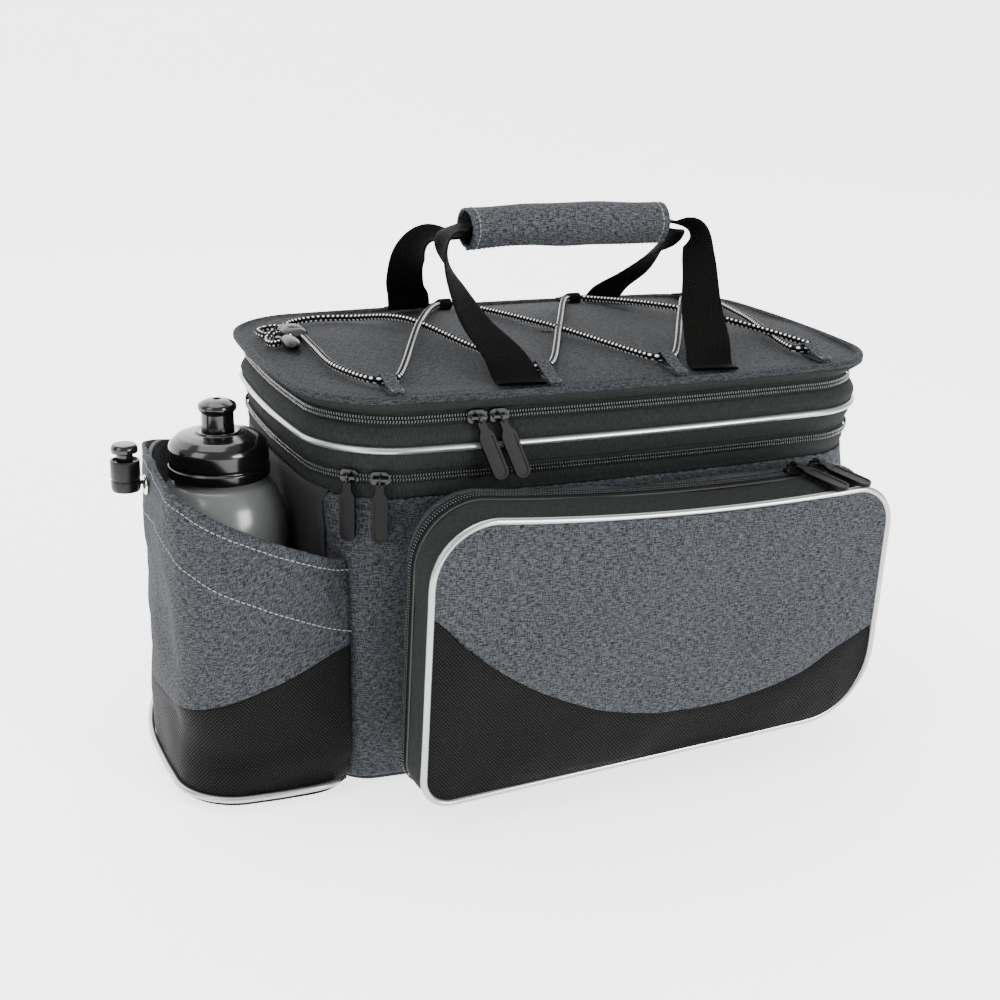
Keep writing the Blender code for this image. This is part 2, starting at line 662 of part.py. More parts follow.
def make_bottle():
    foot = HOLDER_FLOOR + HOLDER_FLOOR_THICKNESS + GAP
    place = (bottle_axis(), BOTTLE_Y, foot)
    r, n, w, h = BOTTLE_RADIUS, BOTTLE_NECK, BOTTLE_WALL, BOTTLE_HEIGHT
    outer = ((0.0, 0.002), (r * 0.55, 0.002), (r * 0.7, 0.0), (r * 0.9, 0.0), (r, 0.005), (r, h * 0.72), (r * 0.975, h * 0.80),
             (r * 0.87, h * 0.87), (r * 0.74, h * 0.915), (n, h * 0.935), (n, h))
    inner = ((n - w, h), (n - w, h * 0.93), (r * 0.74 - w, h * 0.905), (r * 0.87 - w, h * 0.86), (r * 0.975 - w, h * 0.795),
             (r - w, h * 0.715), (r - w, 0.006), (r * 0.9 - w, 0.003), (0.0, 0.003 + w))
    turned("bottle_body", (outer + inner)[::-1], SMOKED_PLASTIC, place, 16)
    cap_foot = foot + h * 0.935 + GAP
    c, t = CAP_RADIUS, CAP_WALL
    post, post_top = SPOUT_POST, CAP_HEIGHT + SPOUT_HEIGHT * 0.5
    skirt, top = CAP_SKIRT, CAP_HEIGHT
    cap = ((c, 0.0), (c, skirt * 0.55), (c * 0.955, skirt * 0.65), (c * 0.955, skirt * 1.5), (c * 0.88, top * 0.85),
           (c * 0.70, top * 0.95), (SPOUT_RADIUS + 0.004, top), (post, top), (post, post_top), (0.0, post_top))
    hollow = ((0.0, top - t - 0.004), (n * 0.9, top - t - 0.005), (n + GAP, top * 0.5), (n + GAP, 0.0))
    turned("bottle_cap", cap + hollow, BLACK_PLASTIC, (place[0], place[1], cap_foot), 16)
    s, head, reach = SPOUT_RADIUS, SPOUT_HEAD_RADIUS, SPOUT_HEIGHT
    bore = post + GAP
    spout = ((bore, 0.0), (s, 0.0), (s, reach * 0.62), (head, reach * 0.70), (head, reach * 0.85), (head * 0.8, reach),
             (0.002, reach), (0.002, reach * 0.7), (bore, reach * 0.65))
    turned("bottle_spout", spout, BLACK_PLASTIC, (place[0], place[1], cap_foot + top + GAP), 12)


# Handle: straps run from foot to foot through the grip. Each row is a place as (x, y share of the lid's
# half width, share of the handle's rise) and the width's share. A swing, for the strap's side and the leg's
# end, gives each row's push outwards and the turn of its width away from X in degrees

LEG = ((0.985, 0.0, 1.00), (0.90, 0.0, 1.00), (0.80, 0.13, 0.95), (0.60, 0.40, 0.85), (0.36, 0.72, 0.75),
       (0.16, 0.92, 0.70))
LEG_SWINGS = {
    (-1, -1): ((0.0, 0.0, 0.004, 0.014, 0.020, 0.016), (0, 0, 8, 30, 62, 85)),
    (-1, 1): ((0.0, 0.0, 0.002, 0.006, 0.013, 0.016), (0, 0, 18, 45, 65, 85)),
    (1, -1): ((0.0, 0.0, 0.004, 0.014, 0.020, 0.016), (0, 0, 8, 30, 62, 85)),
    (1, 1): ((0.0, 0.0, 0.004, 0.013, 0.019, 0.016), (0, 0, 0, 12, 55, 85)),
}
NEAR_FEET = (-0.0635, 0.0565)
FAR_FEET = (-0.0560, 0.0860)


def strap_points(feet, side, layer):
    """Centre line, width share and turn of one strap, from its left foot to its right one."""
    grips = (GRIP_X - GRIP_LENGTH / 2, GRIP_X + GRIP_LENGTH / 2)
    legs = []
    for foot, grip, out in zip(feet, grips, (-1, 1)):
        leg = []
        for (y, rise, width), push, turn in zip(LEG, *LEG_SWINGS[side, out]):
            reach = 1 - y / LEG[0][0]
            x, y = foot + (grip - foot) * reach + out * push, side * HALF_WIDTH * y
            lie = lid_top(x, y) + 4 * GAP + STRAP_THICKNESS / 2 if rise < 0.2 else RIM_HEIGHT
            leg.append((x, y, lie + HANDLE_RISE * rise + layer * rise, width, turn))
        legs.append(leg)
    level = RIM_HEIGHT + HANDLE_RISE + layer
    held = [(grips[0] - 0.004, side * 0.001, level - 0.002), (grips[0] + 0.008, 0.0, level), (GRIP_X, 0.0, level),
            (grips[1] - 0.008, 0.0, level), (grips[1] + 0.004, side * 0.001, level - 0.002)]
    left = [(*row[:4], -side * row[4]) for row in legs[0]]
    right = [(*row[:4], -side * (180 - row[4])) for row in legs[1][::-1]]
    return left + [(*place, GRIPPED_WIDTH, -side * 90) for place in held] + right


def ribbon(name, rows, width, thickness, finish):
    """A flat strip along a smooth line; the turn is the angle of its width away from +X about the line."""
    samples = smooth(rows, 0.012)
    rings = []
    for k, sample in enumerate(samples):
        here = Vector(sample[:3])
        ahead = Vector(samples[min(k + 1, len(samples) - 1)][:3]) - Vector(samples[max(k - 1, 0)][:3])
        ahead.normalize()
        angle = math.radians(sample[4])
        wide = Vector((math.cos(angle), math.sin(angle), 0.0))
        wide = (wide - ahead * wide.dot(ahead)).normalized()
        thin = ahead.cross(wide)
        w, t = wide * width * sample[3] / 2, thin * thickness / 2
        rings.append([here - w - t, here + w - t, here + w + t, here - w + t])
    return solid(name, rings, finish)


def make_handle():
    ribbon("near_strap", strap_points(NEAR_FEET, -1, STRAP_THICKNESS * 1.2), STRAP_WIDTH, STRAP_THICKNESS, WEBBING)
    ribbon("far_strap", strap_points(FAR_FEET, 1, -STRAP_THICKNESS * 1.2), STRAP_WIDTH, STRAP_THICKNESS, WEBBING)
    rows = []
    for share in (-0.5, 0.0, 0.5):
        row = []
        for k in range(12):
            t = math.radians(30 * k)
            row.append((GRIP_X + GRIP_LENGTH * share, GRIP_HALF_WIDTH * math.cos(t),
                        RIM_HEIGHT + HANDLE_RISE + GRIP_HALF_HEIGHT * math.sin(t)))
        rows.append(row)
    skin("handle_grip", rows, GRIP_WALL, SLATE_CLOTH, inward=True)


# Lid cord and its loops: place along the lid and the side it is sewn to

NEAR_LOOPS = (-0.133, -0.044, 0.034, 0.134)
FAR_LOOPS = (-0.034, 0.060, 0.148)


def on_lid(x, y, rise=0.0):
    """A point of the cord's centre line lying on the lid."""
    return (x, y, lid_top(x, y) + CORD_RADIUS + 3 * GAP + LOOP_THICKNESS + rise)


def loop_foot(x):
    return side_y(x, RIM_HEIGHT) - LID_EDGE - 0.003


def loop_y(x):
    return loop_foot(x) - LOOP_LENGTH


def make_loop(name, x, side):
    """A folded tape sewn at the lid's edge, with the cord through its fold."""
    y = loop_y(x)
    centre_z = on_lid(x, side * y)[2]
    r = CORD_RADIUS + 2 * GAP + LOOP_THICKNESS / 2
    foot = loop_foot(x)
    low = [(foot, lid_top(x, foot) + 2 * GAP + LOOP_THICKNESS / 2),
           ((foot + y) / 2, lid_top(x, (foot + y) / 2) + 2 * GAP + LOOP_THICKNESS / 2)]
    fold = []
    for step in range(5):
        t = math.radians(-90 - 45 * step)
        fold.append((y + r * math.cos(t), centre_z + r * math.sin(t)))
    high = [((foot + y) / 2 + 0.002, low[1][1] + LOOP_THICKNESS + 2 * GAP + 0.001), (foot, low[0][1] + LOOP_THICKNESS + GAP)]
    line = low + fold + high
    rings = []
    for k, (py, pz) in enumerate(line):
        before, after = line[max(k - 1, 0)], line[min(k + 1, len(line) - 1)]
        dy, dz = after[0] - before[0], after[1] - before[1]
        size = math.hypot(dy, dz)
        ny, nz = -dz / size * LOOP_THICKNESS / 2, dy / size * LOOP_THICKNESS / 2
        rings.append([(x - LOOP_WIDTH / 2, side * (py - ny), pz - nz), (x + LOOP_WIDTH / 2, side * (py - ny), pz - nz),
                      (x + LOOP_WIDTH / 2, side * (py + ny), pz + nz), (x - LOOP_WIDTH / 2, side * (py + ny), pz + nz)])
    solid(name, rings, BLACK_WEAVE if side > 0 else SLATE_CLOTH)


def cord_route():
    """The elastic cord from the lock at the left end, laced across the lid and back."""
    over = 2 * CORD_RADIUS + 2 * GAP
    straight, lead = 0.5 * LOOP_WIDTH, LOOP_WIDTH
    route = [(-0.149, 0.0200, 0.0), (-0.151, -0.012, 0.0), (-0.151, -0.050, 0.0)]
    last = (-0.151, -0.050)
    order = ((0, -1), (0, 1), (2, -1), (2, 1), (3, -1), (1, 1), (1, -1))
    for count, (index, side) in enumerate(order):
        x = (NEAR_LOOPS if side < 0 else FAR_LOOPS)[index]
        y = side * loop_y(x)
        if count:
            middle = ((x + last[0]) / 2, (y + last[1]) / 2)
            route.append((*middle, over if count % 2 else 0.0))
        heading = -1 if (index, side) in ((1, 1), (1, -1)) else 1
        for step in (-lead, -straight, straight, lead):
            dip = 0.003 if abs(step) > straight else 0.0
            route.append((x + heading * step, y - side * dip, 0.0))
        last = (x, y)
    route += [(-0.066, -0.040, 0.0), (-0.086, 0.022, over), (-0.107, 0.064, 0.0), (-0.128, 0.076, 0.0),
              (-0.147, 0.066, 0.0), (-0.151, 0.0425, 0.0)]
    return [on_lid(*point) for point in route]


def make_lid_lock():
    """The lock that grips both ends of the lid's cord, with its oval pull, lying on the lid."""
    length, width, height = 0.0205, 0.0150, 0.0085
    x, y = -0.1530, 0.0312
    z = lid_top(x, y) + 2 * GAP
    shape = ((-0.5, 0.75, 0.75), (-0.3, 1.0, 1.0), (0.3, 0.9, 1.0), (0.5, 0.6, 0.75))
    rings = []
    for along, wide, tall in shape:
        w, h = width * wide / 2, height * tall
        rings.append([(x + w * u, y + length * along, z + h * v)
                      for u, v in ((-1, 0.25), (-0.6, 0), (0.6, 0), (1, 0.25), (1, 0.75), (0.6, 1), (-0.6, 1), (-1, 0.75))])
    solid("lid_cord_lock", rings, BLACK_PLASTIC)
    knob_x, knob_y, knob_length, knob_radius = -0.1600, 0.0085, 0.0240, 0.0048
    rings = []
    for along, size in ((-0.5, 0.35), (-0.42, 0.75), (-0.2, 1.0), (0.15, 0.85), (0.4, 0.5), (0.5, 0.4)):
        here_y = knob_y + knob_length * along
        base = lid_top(knob_x, knob_y) + 2 * GAP + knob_radius * 0.75
        rings.append([(knob_x + knob_radius * size * math.cos(t), here_y, base + 0.75 * knob_radius * size * math.sin(t))
                      for t in (math.radians(45 * k) for k in range(8))])
    solid("lid_cord_lock_knob", rings, BLACK_PLASTIC)


def make_lid_cord():
    tube("bungee_cord", smooth(cord_route(), 0.045), CORD_RADIUS, CORD, fineness=2)
    for k, x in enumerate(NEAR_LOOPS):
        make_loop(f"near_loop_{k + 1}", x, -1)
    for k, x in enumerate(FAR_LOOPS):
        make_loop(f"far_loop_{k + 1}", x, 1)


# Zip sliders and pull tabs. Along a tab: share of its length, share of its width

TAB_SHAPE = ((0.0, 0.34), (0.14, 0.50), (0.24, 1.0), (0.60, 1.0), (0.92, 0.95), (1.0, 0.60))


def frame_at(place, out, up):
    """A matrix whose axes are the zip's line, the way out of the wall, and up."""
    along = out.cross(up)
    made = Matrix((along, out, up)).transposed().to_4x4()
    made.translation = place
    return made


def block(name, rings, finish, frame, group=None):
    made = solid(name, rings, finish, group)
    made.matrix_world = frame
    return made


def make_slider(name, frame):
    """A slider's body with its bridge, in the frame of the zip's surface."""
    half, wide = SLIDER_LENGTH / 2, SLIDER_WIDTH / 2
    plan = [(-half, 0.55 * wide), (-0.5 * half, wide), (0.7 * half, wide), (half, 0.7 * wide)]
    plan += [(a, -h) for a, h in reversed(plan)]
    body = block(name, [[(a, o, h) for a, h in plan] for o in (GAP, SLIDER_THICKNESS)], BLACK_METAL, frame)
    top = SLIDER_THICKNESS + BRIDGE_RISE + BRIDGE_BAR / 2
    reach, foot = 0.80 * half, SLIDER_THICKNESS * 0.6
    arch = [(-reach, foot), (-reach, top), (reach, top), (reach, foot), (reach - BRIDGE_BAR, foot),
            (reach - BRIDGE_BAR, top - BRIDGE_BAR), (-reach + BRIDGE_BAR, top - BRIDGE_BAR), (-reach + BRIDGE_BAR, foot)]
    bridge = block(name + "_bridge", [[(a, o, h) for a, o in arch] for h in (-BRIDGE_BAR / 2, BRIDGE_BAR / 2)], None,
                   frame, CUTTERS)
    boolean(body, bridge, "UNION")


def make_tab(name, frame, lean, tilt):
    """A rubber pull tab with its eye round the bridge's bar, in a frame on the bar."""
    rings = []
    start = EYE_RADIUS - 0.4 * EYE_WIRE
    lean, tilt = math.radians(lean), math.radians(tilt)
    way = Vector((math.sin(lean) * math.cos(tilt), math.sin(tilt), -math.cos(lean) * math.cos(tilt)))
    side = Vector((math.cos(lean), 0.0, math.sin(lean)))
    normal = way.cross(side)
    for share, width in TAB_SHAPE:
        place = way * (start + TAB_LENGTH * share)
        w, t = side * TAB_WIDTH * width / 2, normal * TAB_THICKNESS / 2
        rings.append([place - w - t, place + w - t, place + w + t, place - w + t])
    tab = block(name, rings, DARK_RUBBER, frame)
    bpy.ops.mesh.primitive_torus_add(major_radius=EYE_RADIUS, minor_radius=EYE_WIRE, major_segments=10, minor_segments=4)
    eye = bpy.context.object
    eye.name = name + "_eye"
    for group in list(eye.users_collection):
        group.objects.unlink(eye)
    CUTTERS.objects.link(eye)
    eye.matrix_world = frame @ Matrix.Rotation(math.radians(90), 4, "Y")
    boolean(tab, eye, "UNION")


def zip_pull(names, place, out, up, lean, tilt):
    out, up = Vector(out).normalized(), Vector(up).normalized()
    make_slider(names[0], frame_at(Vector(place), out, up))
    bar = Vector(place) + out * (SLIDER_THICKNESS + BRIDGE_RISE)
    make_tab(names[1], frame_at(bar, out, up), lean, tilt)


def wall_out(x, z):
    """Outward direction of the near side wall at a place along it."""
    step = 0.004
    slope = (side_y(x + step, z) - side_y(x - step, z)) / (2 * step)
    return (-slope, -1.0, 0.0)


LID_SLIDERS = (-0.0915, -0.0790)
EXPANSION_SLIDERS = (-0.1560, -0.1425)
POCKET_SLIDERS = (0.092, 0.107)


def pocket_top(x):
    chain = sorted((p[0], p[2]) for p in pocket_row(1, 0.0, POCKET_FLARE, top=-POCKET_STEP * 0.875) if p[2] > POCKET_LIFT + POCKET_HEIGHT / 2)
    return float(np.interp(x, [p[0] for p in chain], [p[1] for p in chain]))


def make_zips():
    for count, x in enumerate(LID_SLIDERS, 1):
        z = LID_ZIP_TOP - LID_ZIP / 2
        place = (x, -side_y(x, z - SLIDER_WIDTH / 2), z)
        zip_pull((f"lid_slider_{count}", f"lid_pull_{count}"), place, wall_out(x, z), (0, 0, 1), -20, 13)
    for count, x in enumerate(EXPANSION_SLIDERS, 1):
        z = EXPANSION_TOP - EXPANSION_ZIP / 2
        place = (x, -side_y(x, z), z)
        zip_pull((f"expansion_slider_{count}", f"expansion_pull_{count}"), place, wall_out(x, z), (0, 0, 1), 0, 0)
    zip_y = POCKET_FACE_Y - PIPING_RADIUS - 2 * GAP - POCKET_BAND - POCKET_ZIP / 2
    for side, name, places in ((-1, "near_pocket", POCKET_SLIDERS), (1, "far_pocket", POCKET_SLIDERS[:1])):
        for count, x in enumerate(places, 1):
            lean = 26 * side
            zip_pull((f"{name}_slider_{count}", f"{name}_pull_{count}"), (x, side * zip_y, pocket_top(x) + GAP),
                     (0, 0, 1), (0, -side, 0), lean, -10)


def main():
    make_body()
    make_lid()
    make_pocket("near_pocket", -1)
    make_pocket("far_pocket", 1)
    make_holder()
    make_cord_lock()
    make_bottle()
    make_handle()
    make_lid_cord()
    make_lid_lock()
    make_zips()


main()
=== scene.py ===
"""Looks of a bicycle trunk bag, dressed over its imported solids.

Metres in the row frame: +X runs along the bag away from the bottle pocket, -Y faces the near side pocket
and +Z is up. Sizes repeat those of the part, so each piece lies where its solid does."""
import json
import math

import bpy
import numpy as np
from mathutils import Matrix, Vector, noise


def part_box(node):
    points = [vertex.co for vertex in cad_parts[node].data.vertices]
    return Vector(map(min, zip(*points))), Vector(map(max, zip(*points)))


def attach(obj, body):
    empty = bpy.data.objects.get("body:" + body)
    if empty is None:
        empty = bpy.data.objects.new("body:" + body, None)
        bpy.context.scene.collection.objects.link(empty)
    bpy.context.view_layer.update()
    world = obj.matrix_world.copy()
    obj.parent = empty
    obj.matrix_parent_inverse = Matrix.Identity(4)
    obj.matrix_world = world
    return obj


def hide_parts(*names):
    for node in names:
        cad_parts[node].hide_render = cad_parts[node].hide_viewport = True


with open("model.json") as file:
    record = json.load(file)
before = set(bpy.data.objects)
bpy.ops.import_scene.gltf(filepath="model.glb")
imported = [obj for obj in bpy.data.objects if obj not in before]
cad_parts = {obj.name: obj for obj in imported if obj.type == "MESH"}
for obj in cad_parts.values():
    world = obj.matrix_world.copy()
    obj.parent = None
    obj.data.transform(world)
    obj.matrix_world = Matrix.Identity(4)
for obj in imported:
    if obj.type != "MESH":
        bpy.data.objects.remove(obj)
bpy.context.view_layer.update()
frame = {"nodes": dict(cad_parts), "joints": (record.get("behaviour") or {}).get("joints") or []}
NODES = frame["nodes"]

# Sizes of the part

GAP = 0.0004
HALF_LENGTH, HALF_WIDTH = 0.1757, 0.1088
SIDE_BOW, END_BOW = 0.0075, 0.008
CORNER_RADIUS, TUCK, BOTTLE_PRESS, WALL = 0.0424, 0.010, 0.0105, 0.0022
RIM_HEIGHT, LID_BAND, LID_ZIP, UPPER_BAND = 0.2267, 0.0086, 0.0062, 0.0104
RING_RADIUS, MIDDLE_BAND, EXPANSION_ZIP, LOWER_BAND = 0.0016, 0.0100, 0.0068, 0.0088
BASE_THICKNESS, LID_DOME, LID_THICKNESS, LID_EDGE = 0.004, 0.005, 0.003, 0.0048
LID_ZIP_TOP = RIM_HEIGHT - LID_BAND - GAP
UPPER_TOP = LID_ZIP_TOP - LID_ZIP - GAP
RING_Z = UPPER_TOP - UPPER_BAND - GAP - RING_RADIUS
MIDDLE_TOP = RING_Z - RING_RADIUS - GAP
EXPANSION_TOP = MIDDLE_TOP - MIDDLE_BAND - GAP
LOWER_TOP = EXPANSION_TOP - EXPANSION_ZIP - GAP
BODY_TOP = LOWER_TOP - LOWER_BAND - GAP
POCKET_LENGTH, POCKET_LIFT, POCKET_CENTRE_X, POCKET_FACE_Y = HALF_LENGTH * 1.588, 0.0185, 0.0005, 0.168
POCKET_HEIGHT = BODY_TOP + 0.0064 - POCKET_LIFT
POCKET_BAND, POCKET_ZIP, POCKET_CORNER = 0.0200, 0.0095, 0.040
POCKET_DOME, POCKET_SAG, POCKET_LEAN, POCKET_FLARE, POCKET_STEP = 0.005, 0.0045, 0.0045, 0.0015, 0.0040
PIPING_RADIUS = 0.0018
HOLDER_REACH, HOLDER_HALF_WIDTH = HALF_LENGTH + 0.0768, HALF_WIDTH - 0.0020
HOLDER_CORNER, HOLDER_SEAM_X, HOLDER_SEAM_REACH = 0.034, HALF_LENGTH - 0.0157, 0.0140
HOLDER_WALL, HOLDER_MOUTH, HOLDER_FLOOR = 0.002, 0.190, 0.0030
EYELET_Y, EYELET_HEIGHT, EYELET_RADIUS, DRAWCORD_RADIUS = -0.028, 0.1665, 0.0045, 0.00125
LOCK_RADIUS, LOCK_HEIGHT, LOCK_STAND_OFF, BUTTON_RADIUS, BUTTON_RISE = 0.008, 0.0175, 0.003, 0.0072, 0.0085
BOTTLE_X, BOTTLE_Y, BOTTLE_FOOT = -HOLDER_REACH + HOLDER_WALL + 0.0402, -0.020, 0.0064
BOTTLE_RADIUS, BOTTLE_NECK, BOTTLE_WALL, BOTTLE_HEIGHT = 0.0388, 0.0225, 0.0012, 0.171
CAP_RADIUS, CAP_SKIRT, CAP_HEIGHT = 0.0286, 0.0115, 0.0245
SPOUT_POST, SPOUT_RADIUS, SPOUT_HEAD_RADIUS, SPOUT_HEIGHT = 0.0060, 0.0092, 0.0106, 0.0185
STRAP_WIDTH, STRAP_THICKNESS, GRIPPED_WIDTH, HANDLE_RISE = 0.028, 0.0016, 0.70, 0.070
GRIP_LENGTH, GRIP_HALF_WIDTH, GRIP_HALF_HEIGHT, GRIP_X = 0.130, 0.0135, 0.0120, 0.009
CORD_RADIUS, LOOP_WIDTH, LOOP_THICKNESS, LOOP_LENGTH = 0.0020, 0.0075, 0.0009, 0.020
COIL_PITCH, COIL_HALF, COIL_WIRE = 0.0016, 0.0021, 0.00046

WALL_PROFILE = np.array((
    (0.000, 1.20, 1.45, 0.45, 0.30), (0.030, 0.70, 0.90, 0.50, 0.80), (0.130, 0.40, 0.55, 0.50, 1.00),
    (0.400, 0.30, 0.50, 0.60, 1.00), (0.620, 0.50, 0.60, 0.78, 0.85), (0.760, 0.78, 0.80, 0.95, 0.20),
    (0.800, 0.42, 0.80, 0.95, 0.00), (0.835, 0.40, 0.85, 0.95, 0.00), (0.870, 0.15, 0.65, 0.98, 0.00),
    (0.905, 0.10, 0.55, 1.00, 0.00), (0.940, 0.45, 0.85, 0.98, 0.00), (0.962, 0.45, 0.85, 0.98, 0.00),
    (0.985, 0.00, 0.10, 1.00, 0.00), (1.000, 0.00, 0.00, 1.00, 0.00)))


# Materials. Each is one Principled shader; in the patterned ones, colour and bump come from patterns laid out in
# metres on the piece's UV map, made by shared node groups that put out only values.


class Graph:
    """A small helper that adds nodes to one tree."""

    def __init__(self, tree):
        self.tree = tree

    def add(self, kind, **settings):
        node = self.tree.nodes.new(kind)
        for key, value in settings.items():
            setattr(node, key, value)
        return node

    def link(self, source, target):
        if isinstance(source, (int, float)):
            target.default_value = source
        else:
            self.tree.links.new(source, target)

    def math(self, operation, a, b=None, c=None):
        node = self.add("ShaderNodeMath", operation=operation)
        for value, socket in zip((a, b, c), node.inputs):
            if value is not None:
                self.link(value, socket)
        return node.outputs[0]

    def noise(self, vector, scale, detail=2.0, rough=0.5):
        node = self.add("ShaderNodeTexNoise")
        self.link(vector, node.inputs["Vector"])
        node.inputs["Scale"].default_value = scale
        node.inputs["Detail"].default_value = detail
        node.inputs["Roughness"].default_value = rough
        return node.outputs["Fac"]

    def stretch(self, vector, x, y, z=1.0):
        node = self.add("ShaderNodeMapping")
        self.link(vector, node.inputs["Vector"])
        node.inputs["Scale"].default_value = (x, y, z)
        return node.outputs[0]

    def range(self, value, low, high, out_low=0.0, out_high=1.0):
        node = self.add("ShaderNodeMapRange")
        self.link(value, node.inputs["Value"])
        for key, number in (("From Min", low), ("From Max", high), ("To Min", out_low), ("To Max", out_high)):
            node.inputs[key].default_value = number
        return node.outputs[0]

    def mix(self, share, first, second):
        node = self.add("ShaderNodeMix", data_type="RGBA")
        self.link(share, node.inputs["Factor"])
        for colour, socket in ((first, node.inputs["A"]), (second, node.inputs["B"])):
            if isinstance(colour, tuple):
                socket.default_value = (*colour, 1.0)
            else:
                self.link(colour, socket)
        return node.outputs["Result"]


def group(name, outputs):
    """A new shader node group with no inputs and the float outputs named."""
    tree = bpy.data.node_groups.new(name, "ShaderNodeTree")
    for output in outputs:
        tree.interface.new_socket(output, in_out="OUTPUT", socket_type="NodeSocketFloat")
    return Graph(tree), tree.nodes.new("NodeGroupOutput")


def uv_of(graph):
    return graph.add("ShaderNodeUVMap").outputs[0]


def melange_group():
    """Heathered cloth: long flecks along the weft, fainter ones up the warp, and the weave's relief."""
    g, out = group("melange_weave", ("tone", "relief"))
    uv = uv_of(g)
    weft = g.noise(g.stretch(uv, 210, 1700), 1.0, 2.0, 0.6)
    thin_weft = g.noise(g.stretch(uv, 430, 2900, 1.0), 1.0, 1.0)
    warp = g.noise(g.stretch(uv, 1700, 260), 1.0, 2.0, 0.6)
    thin_warp = g.noise(g.stretch(uv, 2700, 520), 1.0, 1.0)
    tone = g.math("MULTIPLY", weft, 0.32)
    for layer, share in ((thin_weft, 0.27), (warp, 0.22), (thin_warp, 0.19)):
        tone = g.math("ADD", tone, g.math("MULTIPLY", layer, share))
    g.link(g.range(tone, 0.447, 0.565), out.inputs["tone"])
    waves = []
    for axis, pitch in (("X", 0.00062), ("Y", 0.00055)):
        node = g.add("ShaderNodeTexWave", bands_direction=axis)
        g.link(uv, node.inputs["Vector"])
        node.inputs["Scale"].default_value = 2 * math.pi / pitch / 20
        node.inputs["Distortion"].default_value = 0.6
        node.inputs["Detail Scale"].default_value = 300.0
        waves.append(node.outputs["Fac"])
    relief = g.math("ADD", g.math("MULTIPLY", waves[0], waves[1]), g.math("MULTIPLY", weft, 1.2))
    g.link(relief, out.inputs["relief"])
    return g.tree


def ribbed_group():
    """Knitted binding: fine ribs across its length, broken into short floats."""
    g, out = group("ribbed_knit", ("tone", "relief"))
    uv = uv_of(g)
    rib = g.noise(g.stretch(uv, 1500, 260), 1.0, 2.0, 0.6)
    grain = g.noise(uv, 1400, 2.0)
    node = g.add("ShaderNodeTexWave", bands_direction="X")
    g.link(uv, node.inputs["Vector"])
    node.inputs["Scale"].default_value = 2 * math.pi / 0.0011 / 20
    node.inputs["Distortion"].default_value = 1.5
    node.inputs["Detail Scale"].default_value = 200.0
    mixed = g.math("ADD", g.math("MULTIPLY", rib, 0.6), g.math("MULTIPLY", grain, 0.4))
    g.link(g.range(mixed, 0.35, 0.65), out.inputs["tone"])
    g.link(g.math("ADD", g.math("MULTIPLY", node.outputs["Fac"], 0.8), mixed), out.inputs["relief"])
    return g.tree


def dots_group(name, pitch_u, pitch_v, radius, soft):
    """Round dots in staggered rows: 1 in a dot and 0 between them."""
    g, out = group(name, ("dot",))
    split = g.add("ShaderNodeSeparateXYZ")
    g.link(uv_of(g), split.inputs[0])
    v = g.math("DIVIDE", split.outputs["Y"], pitch_v)
    row = g.math("FLOOR", v)
    odd = g.math("MULTIPLY", g.math("MODULO", g.math("ABSOLUTE", row), 2.0), 0.5)
    u = g.math("ADD", g.math("DIVIDE", split.outputs["X"], pitch_u), odd)
    du = g.math("MULTIPLY", g.math("SUBTRACT", g.math("FRACT", u), 0.5), pitch_u)
    dv = g.math("MULTIPLY", g.math("SUBTRACT", g.math("FRACT", v), 0.5), pitch_v)
    far = g.math("SQRT", g.math("ADD", g.math("MULTIPLY", du, du), g.math("MULTIPLY", dv, dv)))
    g.link(g.range(far, radius + soft, radius - soft), out.inputs["dot"])
    return g.tree


def webbing_group():
    """Woven strap: diagonal ribs that turn back at each of its rows."""
    g, out = group("strap_weave", ("relief",))
    split = g.add("ShaderNodeSeparateXYZ")
    g.link(uv_of(g), split.inputs[0])
    across = g.math("PINGPONG", split.outputs["Y"], 0.0016)
    along = g.math("ADD", split.outputs["X"], g.math("MULTIPLY", across, 0.9))
    wave = g.math("SINE", g.math("MULTIPLY", along, 2 * math.pi / 0.0019))
    side = g.math("SINE", g.math("MULTIPLY", split.outputs["Y"], 2 * math.pi / 0.0016))
    g.link(g.math("ADD", g.math("MULTIPLY", wave, 0.5), g.math("MULTIPLY", side, 0.35)), out.inputs["relief"])
    return g.tree


MELANGE, RIBBED, STRAP_WEAVE = melange_group(), ribbed_group(), webbing_group()
BALLISTIC_DOTS = dots_group("raised_dots", 0.0020, 0.00115, 0.00042, 0.00016)
BRAID_DOTS = dots_group("braid_dots", 0.0031, 0.00314, 0.00078, 0.00014)


def material(name, colour=(0.1, 0.1, 0.1), rough=0.5, metal=0.0, coat=0.0, sheen=0.0, transmission=0.0,
             specular=0.5):
    """A Principled material and the helper for its tree."""
    made = bpy.data.materials.new(name)
    made.use_nodes = True
    shader = made.node_tree.nodes["Principled BSDF"]
    shader.inputs["Base Color"].default_value = (*colour, 1.0)
    shader.inputs["Roughness"].default_value = rough
    shader.inputs["Metallic"].default_value = metal
    shader.inputs["Coat Weight"].default_value = coat
    shader.inputs["Sheen Weight"].default_value = sheen
    shader.inputs["Sheen Roughness"].default_value = 0.5
    shader.inputs["Specular IOR Level"].default_value = specular
    shader.inputs["Transmission Weight"].default_value = transmission
    return made, Graph(made.node_tree), shader


def use(graph, tree):
    node = graph.add("ShaderNodeGroup")
    node.node_tree = tree
    return node


def bump(graph, shader, height, distance, strength=1.0):
    node = graph.add("ShaderNodeBump")
    node.inputs["Distance"].default_value = distance
    node.inputs["Strength"].default_value = strength
    graph.link(height, node.inputs["Height"])
    graph.tree.links.new(node.outputs[0], shader.inputs["Normal"])


def cloth(name, dark, light, pattern, depth, rough=0.85):
    made, g, shader = material(name, rough=rough, specular=0.2)
    weave = use(g, pattern)
    g.tree.links.new(g.mix(weave.outputs["tone"], dark, light), shader.inputs["Base Color"])
    bump(g, shader, weave.outputs["relief"], depth, 0.8)
    return made


